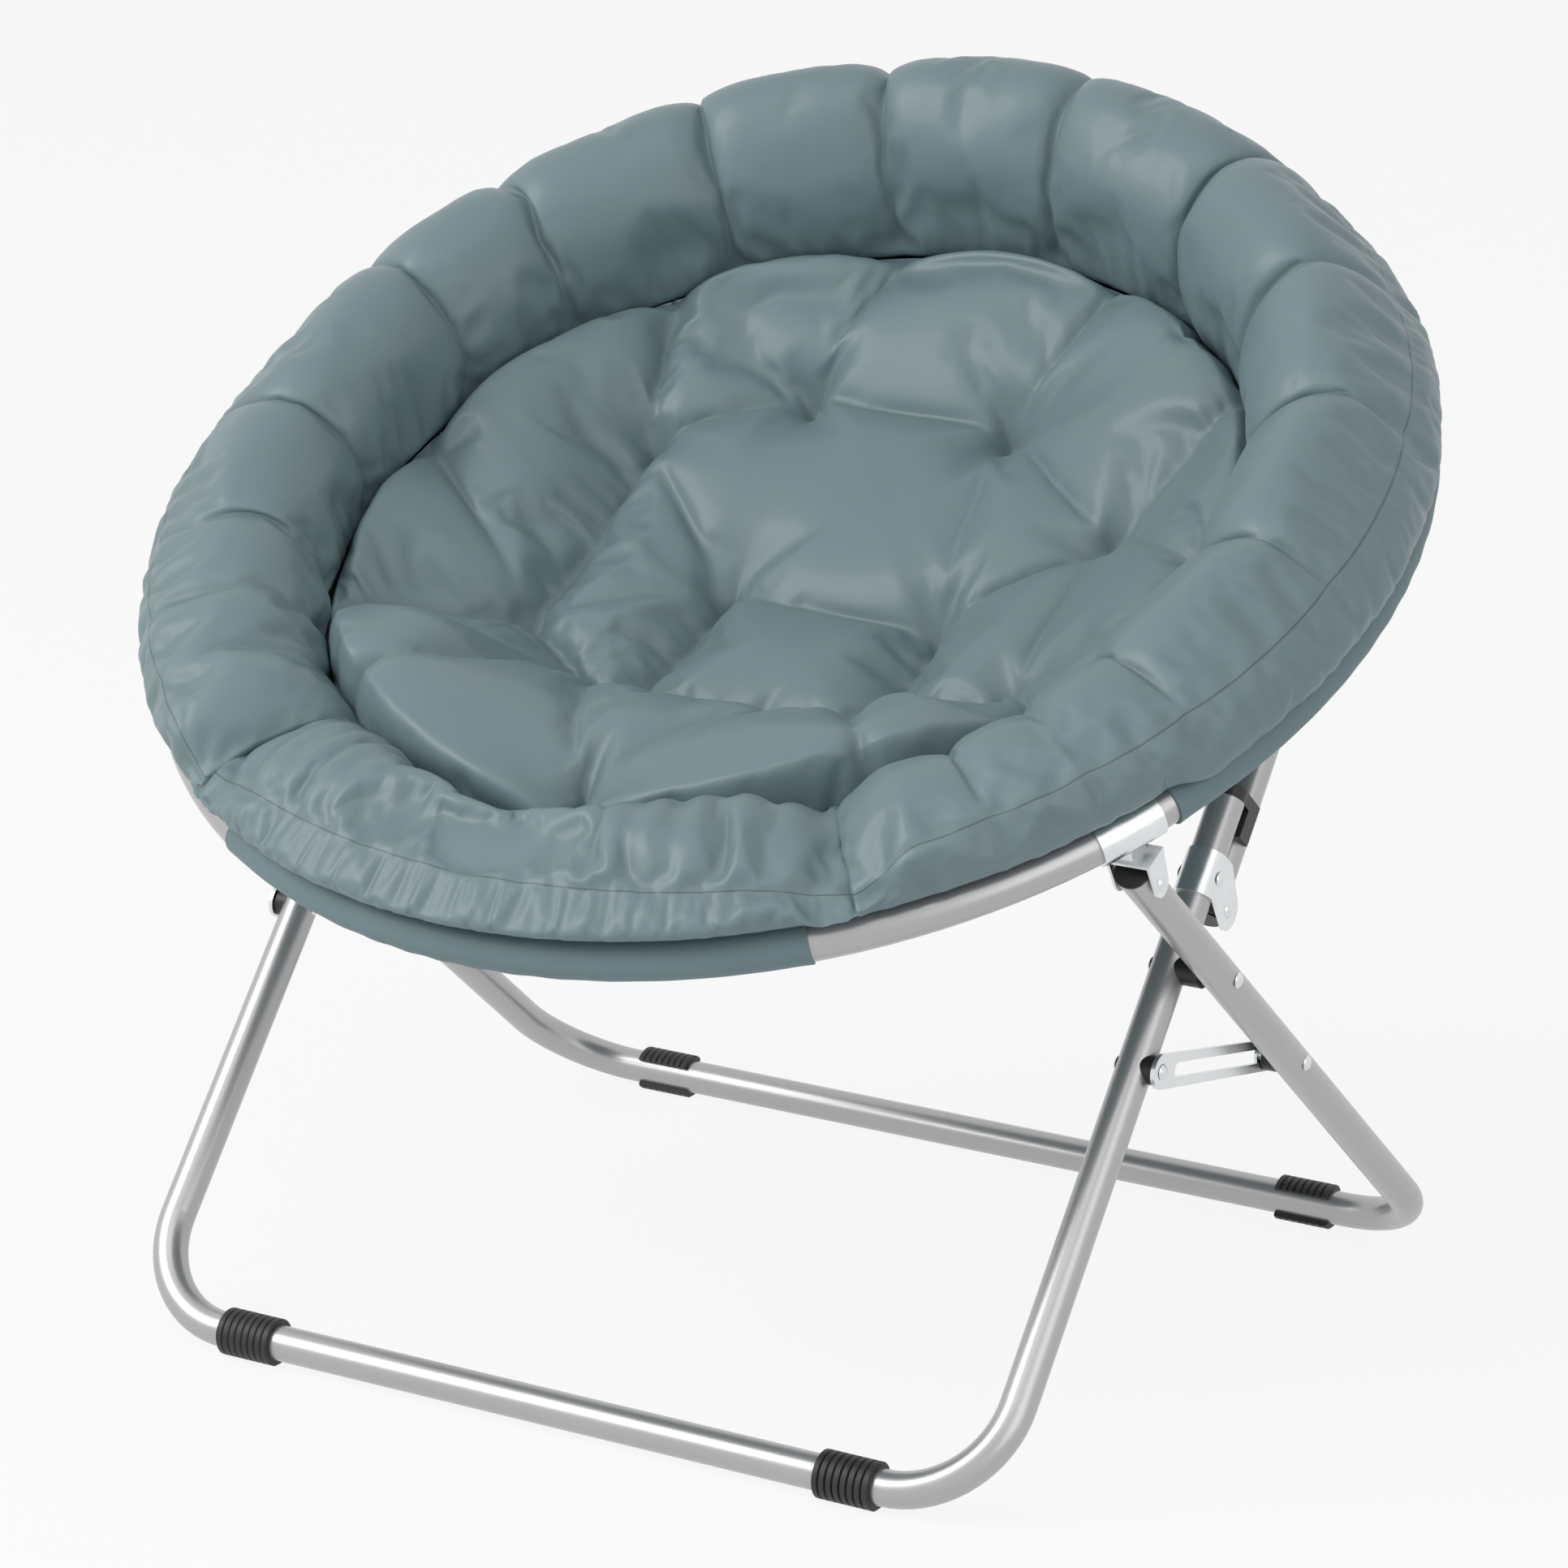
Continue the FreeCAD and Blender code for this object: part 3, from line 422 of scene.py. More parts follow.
def make_roll(cushion, space):
    """The padded roll from one front notch round the back to the other."""
    angles = np.linspace(cushion.roll_start, 360.0 - cushion.roll_start, 430)
    fade = np.linspace(0.0, 1.0, ROLL_ROWS[0])
    near_seam = np.exp(-fade / 0.16) * 1.0 + np.exp(-(1.0 - fade) / 0.10) * 0.8
    near_seam *= smooth_step(fade / 0.03)
    sections = []
    for angle in angles:
        end = min(angle - cushion.roll_start, 360.0 - cushion.roll_start - angle)
        close = float(smooth_step(end / 7.0))
        pinch = sum(math.exp(-abs(angle - g) / GATHER_WIDTH) for g in ROLL_GATHERS)
        away = min(angle, 360.0 - angle)
        sewn_down = float(smooth_step((away - 61.5) / 5.0))
        inner = (cushion.seat_radius + 0.003 * pinch, -0.004)
        seam = (0.444 - 0.003 * pinch, cushion.seam_rise * (0.55 + 0.45 * close))
        foot = (0.4500 + 0.0035 * sewn_down, cushion.foot_rise - 0.0080 * sewn_down)
        under = [(radius, rise - lower * sewn_down) for radius, rise, lower in ROLL_UNDERSIDE]
        top = cushion.crest * float(roll_height(angle)) * (1.0 - 0.15 * pinch) * (0.62 + 0.38 * close)
        section = cover_section(inner, (0.318, 0.80 * top), (0.392, 1.24 * top), seam, foot, under,
                                ROLL_ROWS)
        dent = np.exp(-fade / 0.30) * pinch
        panel = section[:ROLL_ROWS[0]]
        panel[:, 0] += 0.010 * dent * smooth_step(fade / 0.05)
        panel[:, 1] += cushion.gather * fine_folds(angle) * near_seam
        sections.append(section)
    obj = ring_of_sections("rim_roll_cover", np.array(sections), angles, space, ROLL_ROWS)
    sewn = sewn_points(len(angles), ROLL_ROWS)
    for gather in ROLL_GATHERS:
        first = int(np.abs(angles - gather).argmin()) * sum(ROLL_ROWS)
        sewn += range(first, first + 9)
    swell(obj, sorted(set(sewn)), cushion, 0.014)
    return obj


def make_flap(cushion, space):
    """The lower front of the rim, between the two notches."""
    angles = np.linspace(-cushion.flap_half, cushion.flap_half, 150)
    fade = np.linspace(0.0, 1.0, FLAP_ROWS[0])
    near_seam = smooth_step(fade / 0.1) * smooth_step((1.0 - fade) / 0.05)
    sections = []
    for angle in angles:
        end = float(smooth_step((cushion.flap_half - abs(angle)) / 10.0))
        side = (angle / cushion.flap_half) ** 2
        rise = 0.050 - 0.008 * side - 0.0045 * math.sin(math.radians(angle * 1.6))
        seam = (0.425 + 0.012 * side, rise * (0.72 + 0.28 * end))
        foot = (0.4525, 0.0225 + 0.004 * (1.0 - side))
        top = (0.064 - 0.010 * side) * (0.55 + 0.45 * end)
        section = cover_section((0.331, 0.006), (0.336, 1.02 * top), (0.385, 1.16 * top), seam, foot,
                                FLAP_UNDERSIDE, FLAP_ROWS)
        section[:FLAP_ROWS[0], 1] += 1.2 * cushion.gather * fine_folds(angle + 180.0) * near_seam
        sections.append(section)
    obj = ring_of_sections("front_flap_cover", np.array(sections), angles, space, FLAP_ROWS)
    swell(obj, sorted(set(sewn_points(len(angles), FLAP_ROWS))), cushion, 0.010, spare=0.12)
    return obj


def ball_rise(radius, rim, depth):
    """Rise of a round bowl of that rim and depth, nought at its rim."""
    ball = (rim ** 2 + depth ** 2) / (2.0 * depth)
    return -(np.sqrt(ball ** 2 - radius ** 2) - (ball - depth))


def bowl_rise(radius):
    """The sling's upper face below the hoop's plane."""
    return ball_rise(radius, BOWL_RIM, BOWL_DEPTH)


def seat_rise(x, along, cushion):
    """Upper face of the seat before it is filled."""
    radius = np.hypot(x, along)
    rim = cushion.seat_radius
    dish = ball_rise(np.minimum(radius, rim), rim, cushion.seat_depth)
    back, front, side = SHELF_ENDS
    shelf = smooth_step((-along - back[0]) / back[1])
    shelf = shelf * (1.0 - 0.6 * smooth_step((-along - front[0]) / front[1]))
    shelf *= 1.0 - smooth_step((np.abs(x) - side[0]) / side[1])
    edge = smooth_step((rim - radius) / 0.020)
    rise = dish + cushion.shelf * shelf * (0.4 + 0.6 * edge)
    places = seam_places()
    grid = np.stack([x, along], -1)
    slack = np.ones(x.shape)
    for a, b, pull in CREASES:
        start, run = places[a], places[b] - places[a]
        t = np.clip(((grid - start) @ run) / (run @ run), 0.0, 1.0)
        away = np.linalg.norm(grid - start - t[..., None] * run, axis=-1)
        slack = np.minimum(slack, 1.0 - pull * np.exp(-away / CREASE_WIDTH))
    tufts = np.min([np.linalg.norm(grid - p, axis=-1) for p in places[:len(TUFTS)]], axis=0)
    slack = np.minimum(slack, 1.0 - np.exp(-tufts / TUFT_REACH))
    dimple = np.exp(-(tufts / DIMPLE_RADIUS) ** 2)
    return rise + (cushion.pillow * slack - cushion.tuft * dimple) * edge - SEAT_SINK


def seam_places():
    """Tufts and tacks as (across, along the slope) rows."""
    return np.array([(r * math.sin(math.radians(a)), -r * math.cos(math.radians(a)))
                     for a, r in TUFTS + RIM_TACKS])


def make_seat(cushion, space):
    """The tufted middle of the cushion."""
    count = 131
    s = np.linspace(-1.0, 1.0, count)
    a, b = np.meshgrid(s, s, indexing="ij")
    rim = cushion.seat_radius
    x = a * np.sqrt(1.0 - b * b / 2.0) * rim
    along = b * np.sqrt(1.0 - a * a / 2.0) * rim
    top = space.place(x, along, seat_rise(x, along, cushion)).reshape(-1, 3)
    index = np.arange(count * count).reshape(count, count)
    quads = np.stack([index[:-1, :-1], index[1:, :-1], index[1:, 1:], index[:-1, 1:]], -1).reshape(-1, 4)
    border = np.concatenate([index[:, 0], index[-1, 1:], index[-2::-1, -1], index[0, -2:0:-1]])
    quads = [tuple(map(int, q)) for q in quads]
    low = space.place(0.0, 0.0, -0.146).reshape(1, 3)
    fan = [(int(border[(i + 1) % len(border)]), int(border[i]), count * count) for i in range(len(border))]
    trial = new_object("seat_trial", np.concatenate([top, low]), quads + fan)
    held = [count * count] + [int(i) for i in border]
    places = seam_places()
    for place in places[:len(TUFTS)]:
        near = np.hypot(x - place[0], along - place[1]).ravel()
        held += [int(i) for i in np.nonzero(near < 0.0045)[0]] + [int(near.argmin())]
    for first, last, pull in CREASES:
        if pull <= DEEP_CREASE:
            continue
        for t in np.linspace(0.0, 0.5 * pull, 30):
            for spot in (places[first] + t * (places[last] - places[first]),
                         places[last] + t * (places[first] - places[last])):
                held.append(int(np.hypot(x - spot[0], along - spot[1]).argmin()))
    swell(trial, sorted(set(held)), cushion, 0.012)
    top = points_of(trial.data)[:count * count]
    bpy.data.objects.remove(trial)
    flat = np.stack([x.ravel(), along.ravel()], 1)
    return new_object("seat_cushion", top, quads, flat[np.array(quads).ravel()])


def close_below(obj, cushion, space):
    """Give the seat its underside, in rings from its edge to the middle of the sling."""
    mesh = obj.data
    work = bmesh.new()
    work.from_mesh(mesh)
    uv = work.loops.layers.uv["cloth"]
    rim = [v for v in work.verts if v.is_boundary]
    flat = np.array([v.co for v in rim]) - space.centre
    angle = np.arctan2(flat[:, 0], -(flat @ space.slope))
    order = np.argsort(angle)
    ring = [rim[i] for i in order]
    turns = np.degrees(angle[order])
    for share in UNDERSIDE_RINGS:
        radius = cushion.seat_radius * share
        rise = bowl_rise(radius) + UNDERSIDE_GAP + 0.046 * smooth_step((radius - 0.262) / 0.068)
        points = space.round(turns, radius, rise)
        inner = [work.verts.new(p) for p in points]
        for i in range(len(ring)):
            k = (i + 1) % len(ring)
            face = work.faces.new((ring[i], inner[i], inner[k], ring[k]))
            for loop in face.loops:
                local = np.array(loop.vert.co) - space.centre
                loop[uv].uv = (local[0], local @ space.slope)
        ring = inner
    work.faces.new(ring[::-1])
    bmesh.ops.recalc_face_normals(work, faces=work.faces)
    work.to_mesh(mesh)
    work.free()
    bpy.context.view_layer.update()


def make_sling(space):
    """The bowl of cloth below the cushion, with a little pull towards the hoop."""
    rings, turns = 40, 192
    radius = np.linspace(0.0, SLING_RADIUS, rings + 1)[1:]
    angle = np.arange(turns) * 360.0 / turns
    r, a = np.meshgrid(radius, angle, indexing="ij")
    strain = PULL_HEIGHT * np.sin(np.radians(a) * PULLS) * smooth_step((r - 0.25) / 0.15)
    strain *= 1.0 - smooth_step((r - 0.405) / 0.018)
    layers = []
    for drop in (0.0, SLING_WALL):
        rise = bowl_rise(r) - drop + strain
        middle = space.place(0.0, 0.0, bowl_rise(np.array(0.0)) - drop).reshape(1, 3)
        layers.append(np.concatenate([middle, space.round(a, r, rise).reshape(-1, 3)]))
    size = len(layers[0])
    faces = []
    for base, flip in ((0, False), (size, True)):
        for j in range(turns):
            k = (j + 1) % turns
            found = [(base, base + 1 + j, base + 1 + k)]
            for i in range(rings - 1):
                low = base + 1 + i * turns
                high = low + turns
                found.append((low + j, high + j, high + k, low + k))
            faces += [f[::-1] for f in found] if flip else found
    rim = 1 + (rings - 1) * turns
    for j in range(turns):
        k = (j + 1) % turns
        faces.append((rim + j, size + rim + j, size + rim + k, rim + k))
    points = np.concatenate(layers)
    flat = points - space.centre
    uv = np.stack([flat[:, 0], flat @ space.slope], 1)
    corners = np.concatenate([uv[list(f)] for f in faces])
    return new_object("sling_cloth", points, faces, corners)


def make_sleeve(name, start, end, shape, space):
    """Cloth sewn round a length of the hoop, a little loose, with a hem at each end."""
    steps, around = int(abs(end - start) * 1.9), 28
    angle = np.linspace(start, end, steps)
    turn = np.arange(around) * 2.0 * math.pi / around
    folds = np.array([fine_folds(a) for a in angle])[:, None]
    hem = np.exp(-np.minimum(angle - start, end - angle) / 1.1)[:, None]
    loose = SLEEVE_LOOSE + SLEEVE_FOLD * folds * (0.5 - 0.5 * np.sin(turn)) + SLEEVE_HEM * hem
    rings = []
    for gap in (loose, np.full((steps, around), SLEEVE_GAP)):
        radius = shape.tube + gap
        rings.append(space.round(angle[:, None], shape.radius + radius * np.cos(turn),
                                 radius * np.sin(turn)).reshape(-1, 3))
    size = steps * around
    faces, corners = [], []
    for base, flip in ((0, False), (size, True)):
        for i in range(steps - 1):
            for j in range(around):
                k = (j + 1) % around
                row = base + i * around
                face = (row + j, row + around + j, row + around + k, row + k)
                faces.append(face[::-1] if flip else face)
    for row, flip in ((0, False), (steps - 1, True)):
        for j in range(around):
            k = (j + 1) % around
            face = (row * around + j, row * around + k, size + row * around + k, size + row * around + j)
            faces.append(face[::-1] if flip else face)
    points = np.concatenate(rings)
    flat = np.stack([np.tile(np.repeat(np.radians(angle) * shape.radius, around), 2),
                     np.tile(np.tile(turn, steps) * shape.tube, 2)], 1)
    corners = flat[np.array(faces).ravel()]
    return new_object(name, points, faces, corners)


class Wire:
    """A shader value that can stand in sums and products."""

    def __init__(self, shader, socket):
        self.shader = shader
        self.socket = socket

    def maths(self, operation, first, second=0.0):
        return self.shader.node("ShaderNodeMath", {"operation": operation}, {0: first, 1: second})

    def __add__(self, other):
        return self.maths('ADD', self, other)

    __radd__ = __add__

    def __mul__(self, other):
        return self.maths('MULTIPLY', self, other)

    __rmul__ = __mul__

    def __sub__(self, other):
        return self.maths('SUBTRACT', self, other)

    def __rsub__(self, other):
        return self.maths('SUBTRACT', other, self)

    def below(self, other):
        return self.maths('LESS_THAN', self, other)

    def away(self):
        return self.maths('ABSOLUTE', self)

    def clamp(self):
        return self.maths('MAXIMUM', self.maths('MINIMUM', self, 1.0), 0.0)


def opaque(value):
    """A plain colour with full alpha, or the link that it was."""
    return (*value, 1.0) if isinstance(value, tuple) else value


class Shader:
    """A material or world and the nodes that make it."""

    def __init__(self, name, world=None):
        self.material = world or bpy.data.materials.new(name)
        self.material.use_nodes = True
        self.tree = self.material.node_tree
        self.tree.nodes.clear()

    def node(self, kind, settings=None, values=None, output=0):
        """Add a node, set it, fill its sockets and give one of its outputs."""
        made = self.tree.nodes.new(kind)
        for key, value in (settings or {}).items():
            setattr(made, key, value)
        for key, value in (values or {}).items():
            if isinstance(value, Wire):
                self.tree.links.new(value.socket, made.inputs[key])
            else:
                made.inputs[key].default_value = value
        return Wire(self, made.outputs[output]) if len(made.outputs) else None

    def coordinates(self):
        return self.node("ShaderNodeTexCoord", output="Object")

    def cloth_uv(self):
        place = self.node("ShaderNodeUVMap", {"uv_map": "cloth"})
        return self.node("ShaderNodeSeparateXYZ", values={0: place}, output="Y")

    def noise(self, scale, detail=3.0, rough=0.5):
        return self.node("ShaderNodeTexNoise", values={"Vector": self.coordinates(), "Scale": scale,
                                                       "Detail": detail, "Roughness": rough})

    def cells(self, scale):
        return self.node("ShaderNodeTexVoronoi", values={"Vector": self.coordinates(), "Scale": scale})

    def attribute(self, name):
        return self.node("ShaderNodeAttribute", {"attribute_name": name}, output="Fac")

    def mix(self, share, first, second):
        """Blend two colours, each a tuple or a link."""
        values = {0: share, 6: opaque(first), 7: opaque(second)}
        return self.node("ShaderNodeMix", {"data_type": 'RGBA'}, values, output=2)

    def bump(self, height, strength, distance):
        return self.node("ShaderNodeBump", values={"Height": height, "Strength": strength,
                                                   "Distance": distance})

    def finish(self, base, roughness, bump=None, **sockets):
        values = {"Base Color": opaque(base), "Roughness": roughness}
        if bump:
            values["Normal"] = bump
        values.update({key.replace("_", " "): value for key, value in sockets.items()})
        surface = self.node("ShaderNodeBsdfPrincipled", values=values)
        self.node("ShaderNodeOutputMaterial", values={"Surface": surface})
        return self.material


def shade(rgb, factor):
    return tuple(min(1.0, c * factor) for c in rgb)


def cover_leather(finishes):
    """Matt faux leather with a fine grain, a painted sheen on its ridges, painted shade in its hollows and
    a painted shade line along its outer seam.
    """
    shader = Shader("cover_leather")
    base = tuple(finishes.cover)
    mottle = shader.noise(7.0, 4.0)
    # Painted sheen and shade: paler where the cover stands proud of its neighbours, darker in its hollows;
    # the noise adds random tone.
    painted_sheen_and_shade = shader.attribute("painted_sheen_and_shade")
    share = (mottle * 0.55 + painted_sheen_and_shade * 0.30 + 0.22).clamp()
    tone = shader.mix(share, shade(base, 0.86), shade(base, 1.16))
    grain = shader.cells(950.0) * 0.6 + shader.noise(2400.0, 2.0) * 0.4
    creases = shader.noise(60.0, 5.0, 0.62)
    # Painted shade: a thin dark line along the outer seam, standing for the shade in its groove.
    seam = (shader.cloth_uv() - PANEL_SHARES[1]).away().below(SEAM_SHADE_HALF_WIDTH)
    tone = shader.mix(seam * 0.75, tone, tuple(finishes.seam_shade))
    bump = shader.bump(grain * 0.35 + creases * 1.1 - seam * 1.4, 0.28, 0.0007)
    return shader.finish(tone, mottle * 0.12 + 0.37, bump, Specular_IOR_Level=0.42, Coat_Weight=0.06)


def sling_weave(finishes):
    """Coated cloth of the sling and its sleeves."""
    shader = Shader("sling_weave")
    base = tuple(finishes.cloth)
    mottle = shader.noise(11.0, 4.0)
    tone = shader.mix(mottle, shade(base, 0.90), shade(base, 1.10))
    weave = shader.cells(1300.0)
    bump = shader.bump(weave * 0.5 + shader.noise(120.0, 4.0), 0.22, 0.0005)
    return shader.finish(tone, mottle * 0.10 + 0.50, bump, Specular_IOR_Level=0.35)


def silver_paint(finishes):
    """Silver powder coat with a very fine orange peel."""
    shader = Shader("silver_paint")
    base = tuple(finishes.paint)
    peel = shader.noise(700.0, 2.0)
    cloud = shader.noise(6.0, 3.0)
    tone = shader.mix(cloud, shade(base, 0.95), shade(base, 1.05))
    bump = shader.bump(peel, 0.06, 0.0003)
    return shader.finish(tone, cloud * 0.06 + 0.30, bump, Metallic=0.72, Coat_Weight=0.15)


def zinc_plate(finishes):
    """Bright zinc on pressed steel."""
    shader = Shader("zinc_plate")
    base = tuple(finishes.zinc)
    cloud = shader.noise(45.0, 5.0, 0.6)
    tone = shader.mix(cloud, shade(base, 0.88), shade(base, 1.08))
    bump = shader.bump(shader.noise(260.0, 3.0), 0.10, 0.0003)
    return shader.finish(tone, cloud * 0.14 + 0.20, bump, Metallic=1.0)


def rivet_steel(finishes):
    """Polished rivet and screw heads."""
    shader = Shader("rivet_steel")
    cloud = shader.noise(300.0, 3.0)
    tone = shader.mix(cloud, tuple(finishes.rivet_dull), tuple(finishes.rivet_bright))
    return shader.finish(tone, cloud * 0.12 + 0.16, Metallic=1.0)


def black_plastic(finishes):
    """Moulded caps and spacers with a fine spark-eroded grain."""
    shader = Shader("black_plastic")
    base = tuple(finishes.plastic)
    grain = shader.noise(1400.0, 3.0)
    tone = shader.mix(shader.noise(30.0), shade(base, 0.8), shade(base, 1.5))
    return shader.finish(tone, grain * 0.14 + 0.34, shader.bump(grain, 0.16, 0.0003))


def black_rubber(finishes):
    """Soft grips, duller than the plastic, with a little dust."""
    shader = Shader("black_rubber")
    base = tuple(finishes.plastic)
    dust = shader.noise(55.0, 5.0, 0.65)
    tone = shader.mix(dust, shade(base, 0.9), shade(base, 2.4))
    return shader.finish(tone, dust * 0.16 + 0.44, shader.bump(shader.noise(900.0, 3.0), 0.18, 0.0003))


MAKERS = {"silver_paint": silver_paint, "zinc_plate": zinc_plate, "rivet_steel": rivet_steel,
          "black_plastic": black_plastic, "black_rubber": black_rubber, "sling_cloth": sling_weave,
          "cushion_cover": cover_leather}


def material(slot):
    """The finish of one of the record's material slots, made once."""
    found = bpy.data.materials.get("finish_" + slot)
    if not found:
        found = MAKERS[slot](bpy.context.scene.chair_finishes)
        found.name = "finish_" + slot
    return found


def dress(obj, slot, body, *nodes):
    """Give a piece its finish and its body, and hide the nodes that it stands for."""
    obj.data.materials.clear()
    obj.data.materials.append(material(slot))
    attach(obj, body)
    if nodes:
        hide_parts(*nodes)


def fold_flat(obj):
    """Give a soft piece a mesh of its own."""
    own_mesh(obj)


class ChairOperator(Operator):
    """Shared settings of the chair's operators"""
    bl_options = {'REGISTER', 'UNDO'}

    def settings(self, context):
        scene = context.scene
        return scene.chair_cushion, HoopSpace(scene.chair_hoop)


class CHAIR_OT_rim_roll(ChairOperator):
    """Make the padded roll round the back of the rim"""
    bl_idname = "chair.rim_roll"
    bl_label = "Rim roll"

    def execute(self, context):
        cushion, space = self.settings(context)
        roll = make_roll(cushion, space)
        subdivide(roll)
        mark_painted_sheen_and_shade(roll)
        dress(roll, "cushion_cover", "hoop", "rim_roll")
        fold_flat(roll)
        return {'FINISHED'}


class CHAIR_OT_front_flap(ChairOperator):
    """Make the low padded edge at the front"""
    bl_idname = "chair.front_flap"
    bl_label = "Front flap"

    def execute(self, context):
        cushion, space = self.settings(context)
        flap = make_flap(cushion, space)
        subdivide(flap)
        mark_painted_sheen_and_shade(flap)
        dress(flap, "cushion_cover", "hoop", "front_flap")
        fold_flat(flap)
        return {'FINISHED'}


class CHAIR_OT_seat(ChairOperator):
    """Make the tufted seat"""
    bl_idname = "chair.seat"
    bl_label = "Tufted seat"

    def execute(self, context):
        cushion, space = self.settings(context)
        seat = make_seat(cushion, space)
        subdivide(seat)
        close_below(seat, cushion, space)
        bpy.ops.object.shade_smooth()
        mark_painted_sheen_and_shade(seat)
        dress(seat, "cushion_cover", "hoop", "seat_pad")
        fold_flat(seat)
        return {'FINISHED'}


class CHAIR_OT_sling(ChairOperator):
    """Make the sling below the cushion"""
    bl_idname = "chair.sling"
    bl_label = "Sling"

    def execute(self, context):
        cushion, space = self.settings(context)
        sling = make_sling(space)
        only(sling)
        bpy.ops.object.shade_smooth_by_angle(angle=math.radians(40.0))
        dress(sling, "sling_cloth", "hoop", "sling")
        fold_flat(sling)
        return {'FINISHED'}


class CHAIR_OT_sleeves(ChairOperator):
    """Make the sleeves that hold the sling on the hoop"""
    bl_idname = "chair.sleeves"
    bl_label = "Sleeves"

    def execute(self, context):
        cushion, space = self.settings(context)
        shape = context.scene.chair_hoop
        lengths = (("front_sleeve", -cushion.front_sleeve, cushion.front_sleeve, "hoop_front"),
                   ("rear_sleeve", cushion.rear_sleeve, 360.0 - cushion.rear_sleeve, "hoop_rear"))
        for name, start, end, carrier in lengths:
            sleeve = make_sleeve(name + "_cloth", start, end, shape, space)
            only(sleeve)
            bpy.ops.object.shade_smooth_by_angle(angle=math.radians(50.0))
            dress(sleeve, "sling_cloth", "hoop", name)
        return {'FINISHED'}


class CHAIR_OT_finishes(ChairOperator):
    """Give every carried-over piece its finish"""
    bl_idname = "chair.finishes"
    bl_label = "Finishes"

    def execute(self, context):
        slots = {row["node"]: row["material_slot"] for row in frame["record"]["subparts"]}
        for name, obj in frame["nodes"].items():
            obj.data.materials.clear()
            obj.data.materials.append(material(slots[name]))
            only(obj)
            bpy.ops.object.shade_smooth_by_angle(angle=math.radians(32.0))
        return {'FINISHED'}


class CHAIR_OT_stage(ChairOperator):
    """Make the floor, the light and the camera"""
    bl_idname = "chair.stage"
    bl_label = "Stage"

    def execute(self, context):
        stage = context.scene.chair_stage
        bpy.ops.object.select_all(action='DESELECT')
        bpy.ops.mesh.primitive_plane_add(size=FLOOR_SIZE, location=(0.0, 0.0, 0.0))
        floor = context.object
        floor.name = "floor"
        floor.data.materials.append(floor_paint())
        set_world(stage)
        lamp(*KEY_LAMP, stage.key)
        lamp(*FILL_LAMP, stage.fill)
        lamp(*TOP_LAMP, stage.top)
        place_camera(stage)
        context.scene.view_settings.view_transform = 'Standard'
        return {'FINISHED'}


def seen_directly(shader):
    """One for rays from the camera or seen in a mirror or glass, else zero."""
    rays = [shader.node("ShaderNodeLightPath", output=name) for name in
            ("Is Camera Ray", "Is Glossy Ray", "Is Transmission Ray")]
    return (rays[0] + rays[1] + rays[2]).clamp()


def floor_paint():
    """A pale floor that keeps the chair's shadow."""
    shader = Shader("pale_floor")
    matt = shader.node("ShaderNodeBsdfDiffuse", values={"Color": FLOOR_COLOUR})
    glow = shader.node("ShaderNodeEmission", values={"Color": WHITE, "Strength": 1.0})
    share = seen_directly(shader) * FLOOR_GLOW
    surface = shader.node("ShaderNodeMixShader", values={0: share, 1: matt, 2: glow})
    shader.node("ShaderNodeOutputMaterial", values={"Surface": surface})
    return shader.material


def set_world(stage):
    """Even light all round, and a white background where it is seen."""
    world = bpy.context.scene.world or bpy.data.worlds.new("World")
    bpy.context.scene.world = world
    shader = Shader("sky", world)
    light = shader.node("ShaderNodeBackground", values={"Color": SKY_COLOUR, "Strength": stage.sky})
    white = shader.node("ShaderNodeBackground", values={"Color": BACKGROUND, "Strength": 1.0})
    surface = shader.node("ShaderNodeMixShader", values={0: seen_directly(shader), 1: light, 2: white})
    shader.node("ShaderNodeOutputWorld", values={"Surface": surface})


def lamp(name, place, size, watts):
    data = bpy.data.lights.new(name, 'AREA')
    data.size = size
    data.energy = watts
    obj = bpy.data.objects.new(name, data)
    obj.location = place
    aim = Vector(LAMP_TARGET) - Vector(place)
    obj.rotation_euler = aim.to_track_quat('-Z', 'Y').to_euler()
    bpy.context.scene.collection.objects.link(obj)


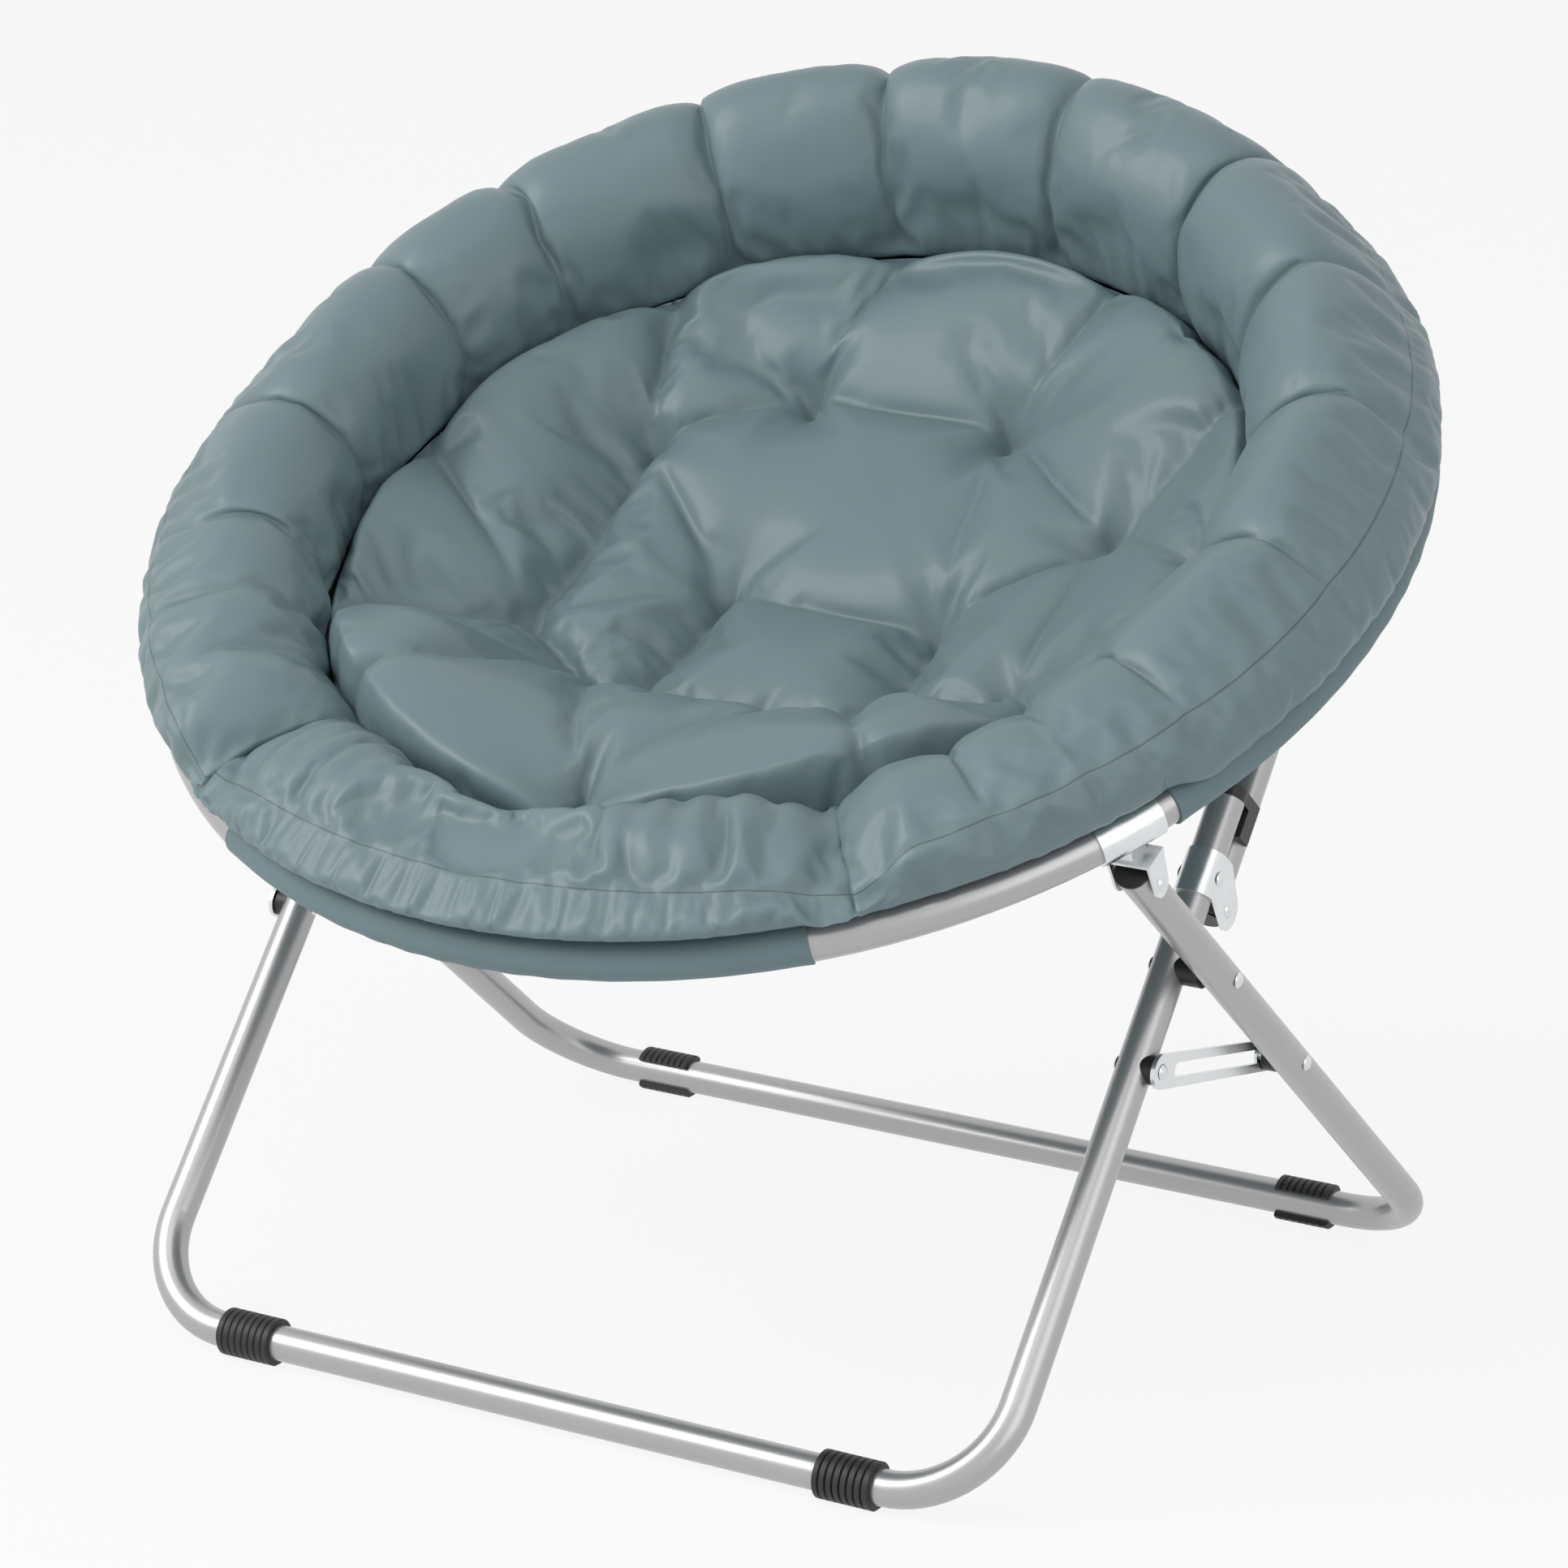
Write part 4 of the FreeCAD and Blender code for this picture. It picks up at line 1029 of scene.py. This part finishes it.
def place_camera(stage):
    """The photograph's viewing angle."""
    data = bpy.data.cameras.new("camera")
    data.lens = stage.lens
    data.sensor_width = 36.0
    data.clip_end = 50.0
    obj = bpy.data.objects.new("camera", data)
    a, e = stage.azimuth, stage.elevation
    back = Vector((math.sin(a) * math.cos(e), -math.cos(a) * math.cos(e), math.sin(e)))
    obj.rotation_mode = 'QUATERNION'
    obj.location = Vector(stage.target) + back * stage.distance
    turn = Matrix.Rotation(stage.roll, 3, back)
    obj.rotation_quaternion = (turn @ (-back).to_track_quat('-Z', 'Y').to_matrix()).to_quaternion()
    bpy.context.scene.collection.objects.link(obj)
    bpy.context.scene.camera = obj


class CHAIR_PT_panel(Panel):
    """The chair's pieces in the order that they are made"""
    bl_label = "Saucer chair"
    bl_space_type = 'VIEW_3D'
    bl_region_type = 'UI'
    bl_category = "Chair"

    def draw(self, context):
        for operator in OPERATORS:
            self.layout.operator(operator.bl_idname)


SETTINGS = (("chair_hoop", HoopShape), ("chair_cushion", CushionShape),
            ("chair_finishes", Finishes), ("chair_stage", StageShape))
OPERATORS = (CHAIR_OT_finishes, CHAIR_OT_seat, CHAIR_OT_rim_roll, CHAIR_OT_front_flap, CHAIR_OT_sling,
             CHAIR_OT_sleeves, CHAIR_OT_stage)


def register():
    for name, group in SETTINGS:
        bpy.utils.register_class(group)
        setattr(bpy.types.Scene, name, PointerProperty(type=group))
    for operator in OPERATORS:
        bpy.utils.register_class(operator)
    bpy.utils.register_class(CHAIR_PT_panel)


def unregister():
    bpy.utils.unregister_class(CHAIR_PT_panel)
    for operator in reversed(OPERATORS):
        bpy.utils.unregister_class(operator)
    for name, group in reversed(SETTINGS):
        delattr(bpy.types.Scene, name)
        bpy.utils.unregister_class(group)


def main():
    register()
    bpy.ops.chair.finishes()
    bpy.ops.chair.seat()
    bpy.ops.chair.rim_roll()
    bpy.ops.chair.front_flap()
    bpy.ops.chair.sling()
    bpy.ops.chair.sleeves()
    bpy.ops.chair.stage()


if __name__ == "__main__":
    main()
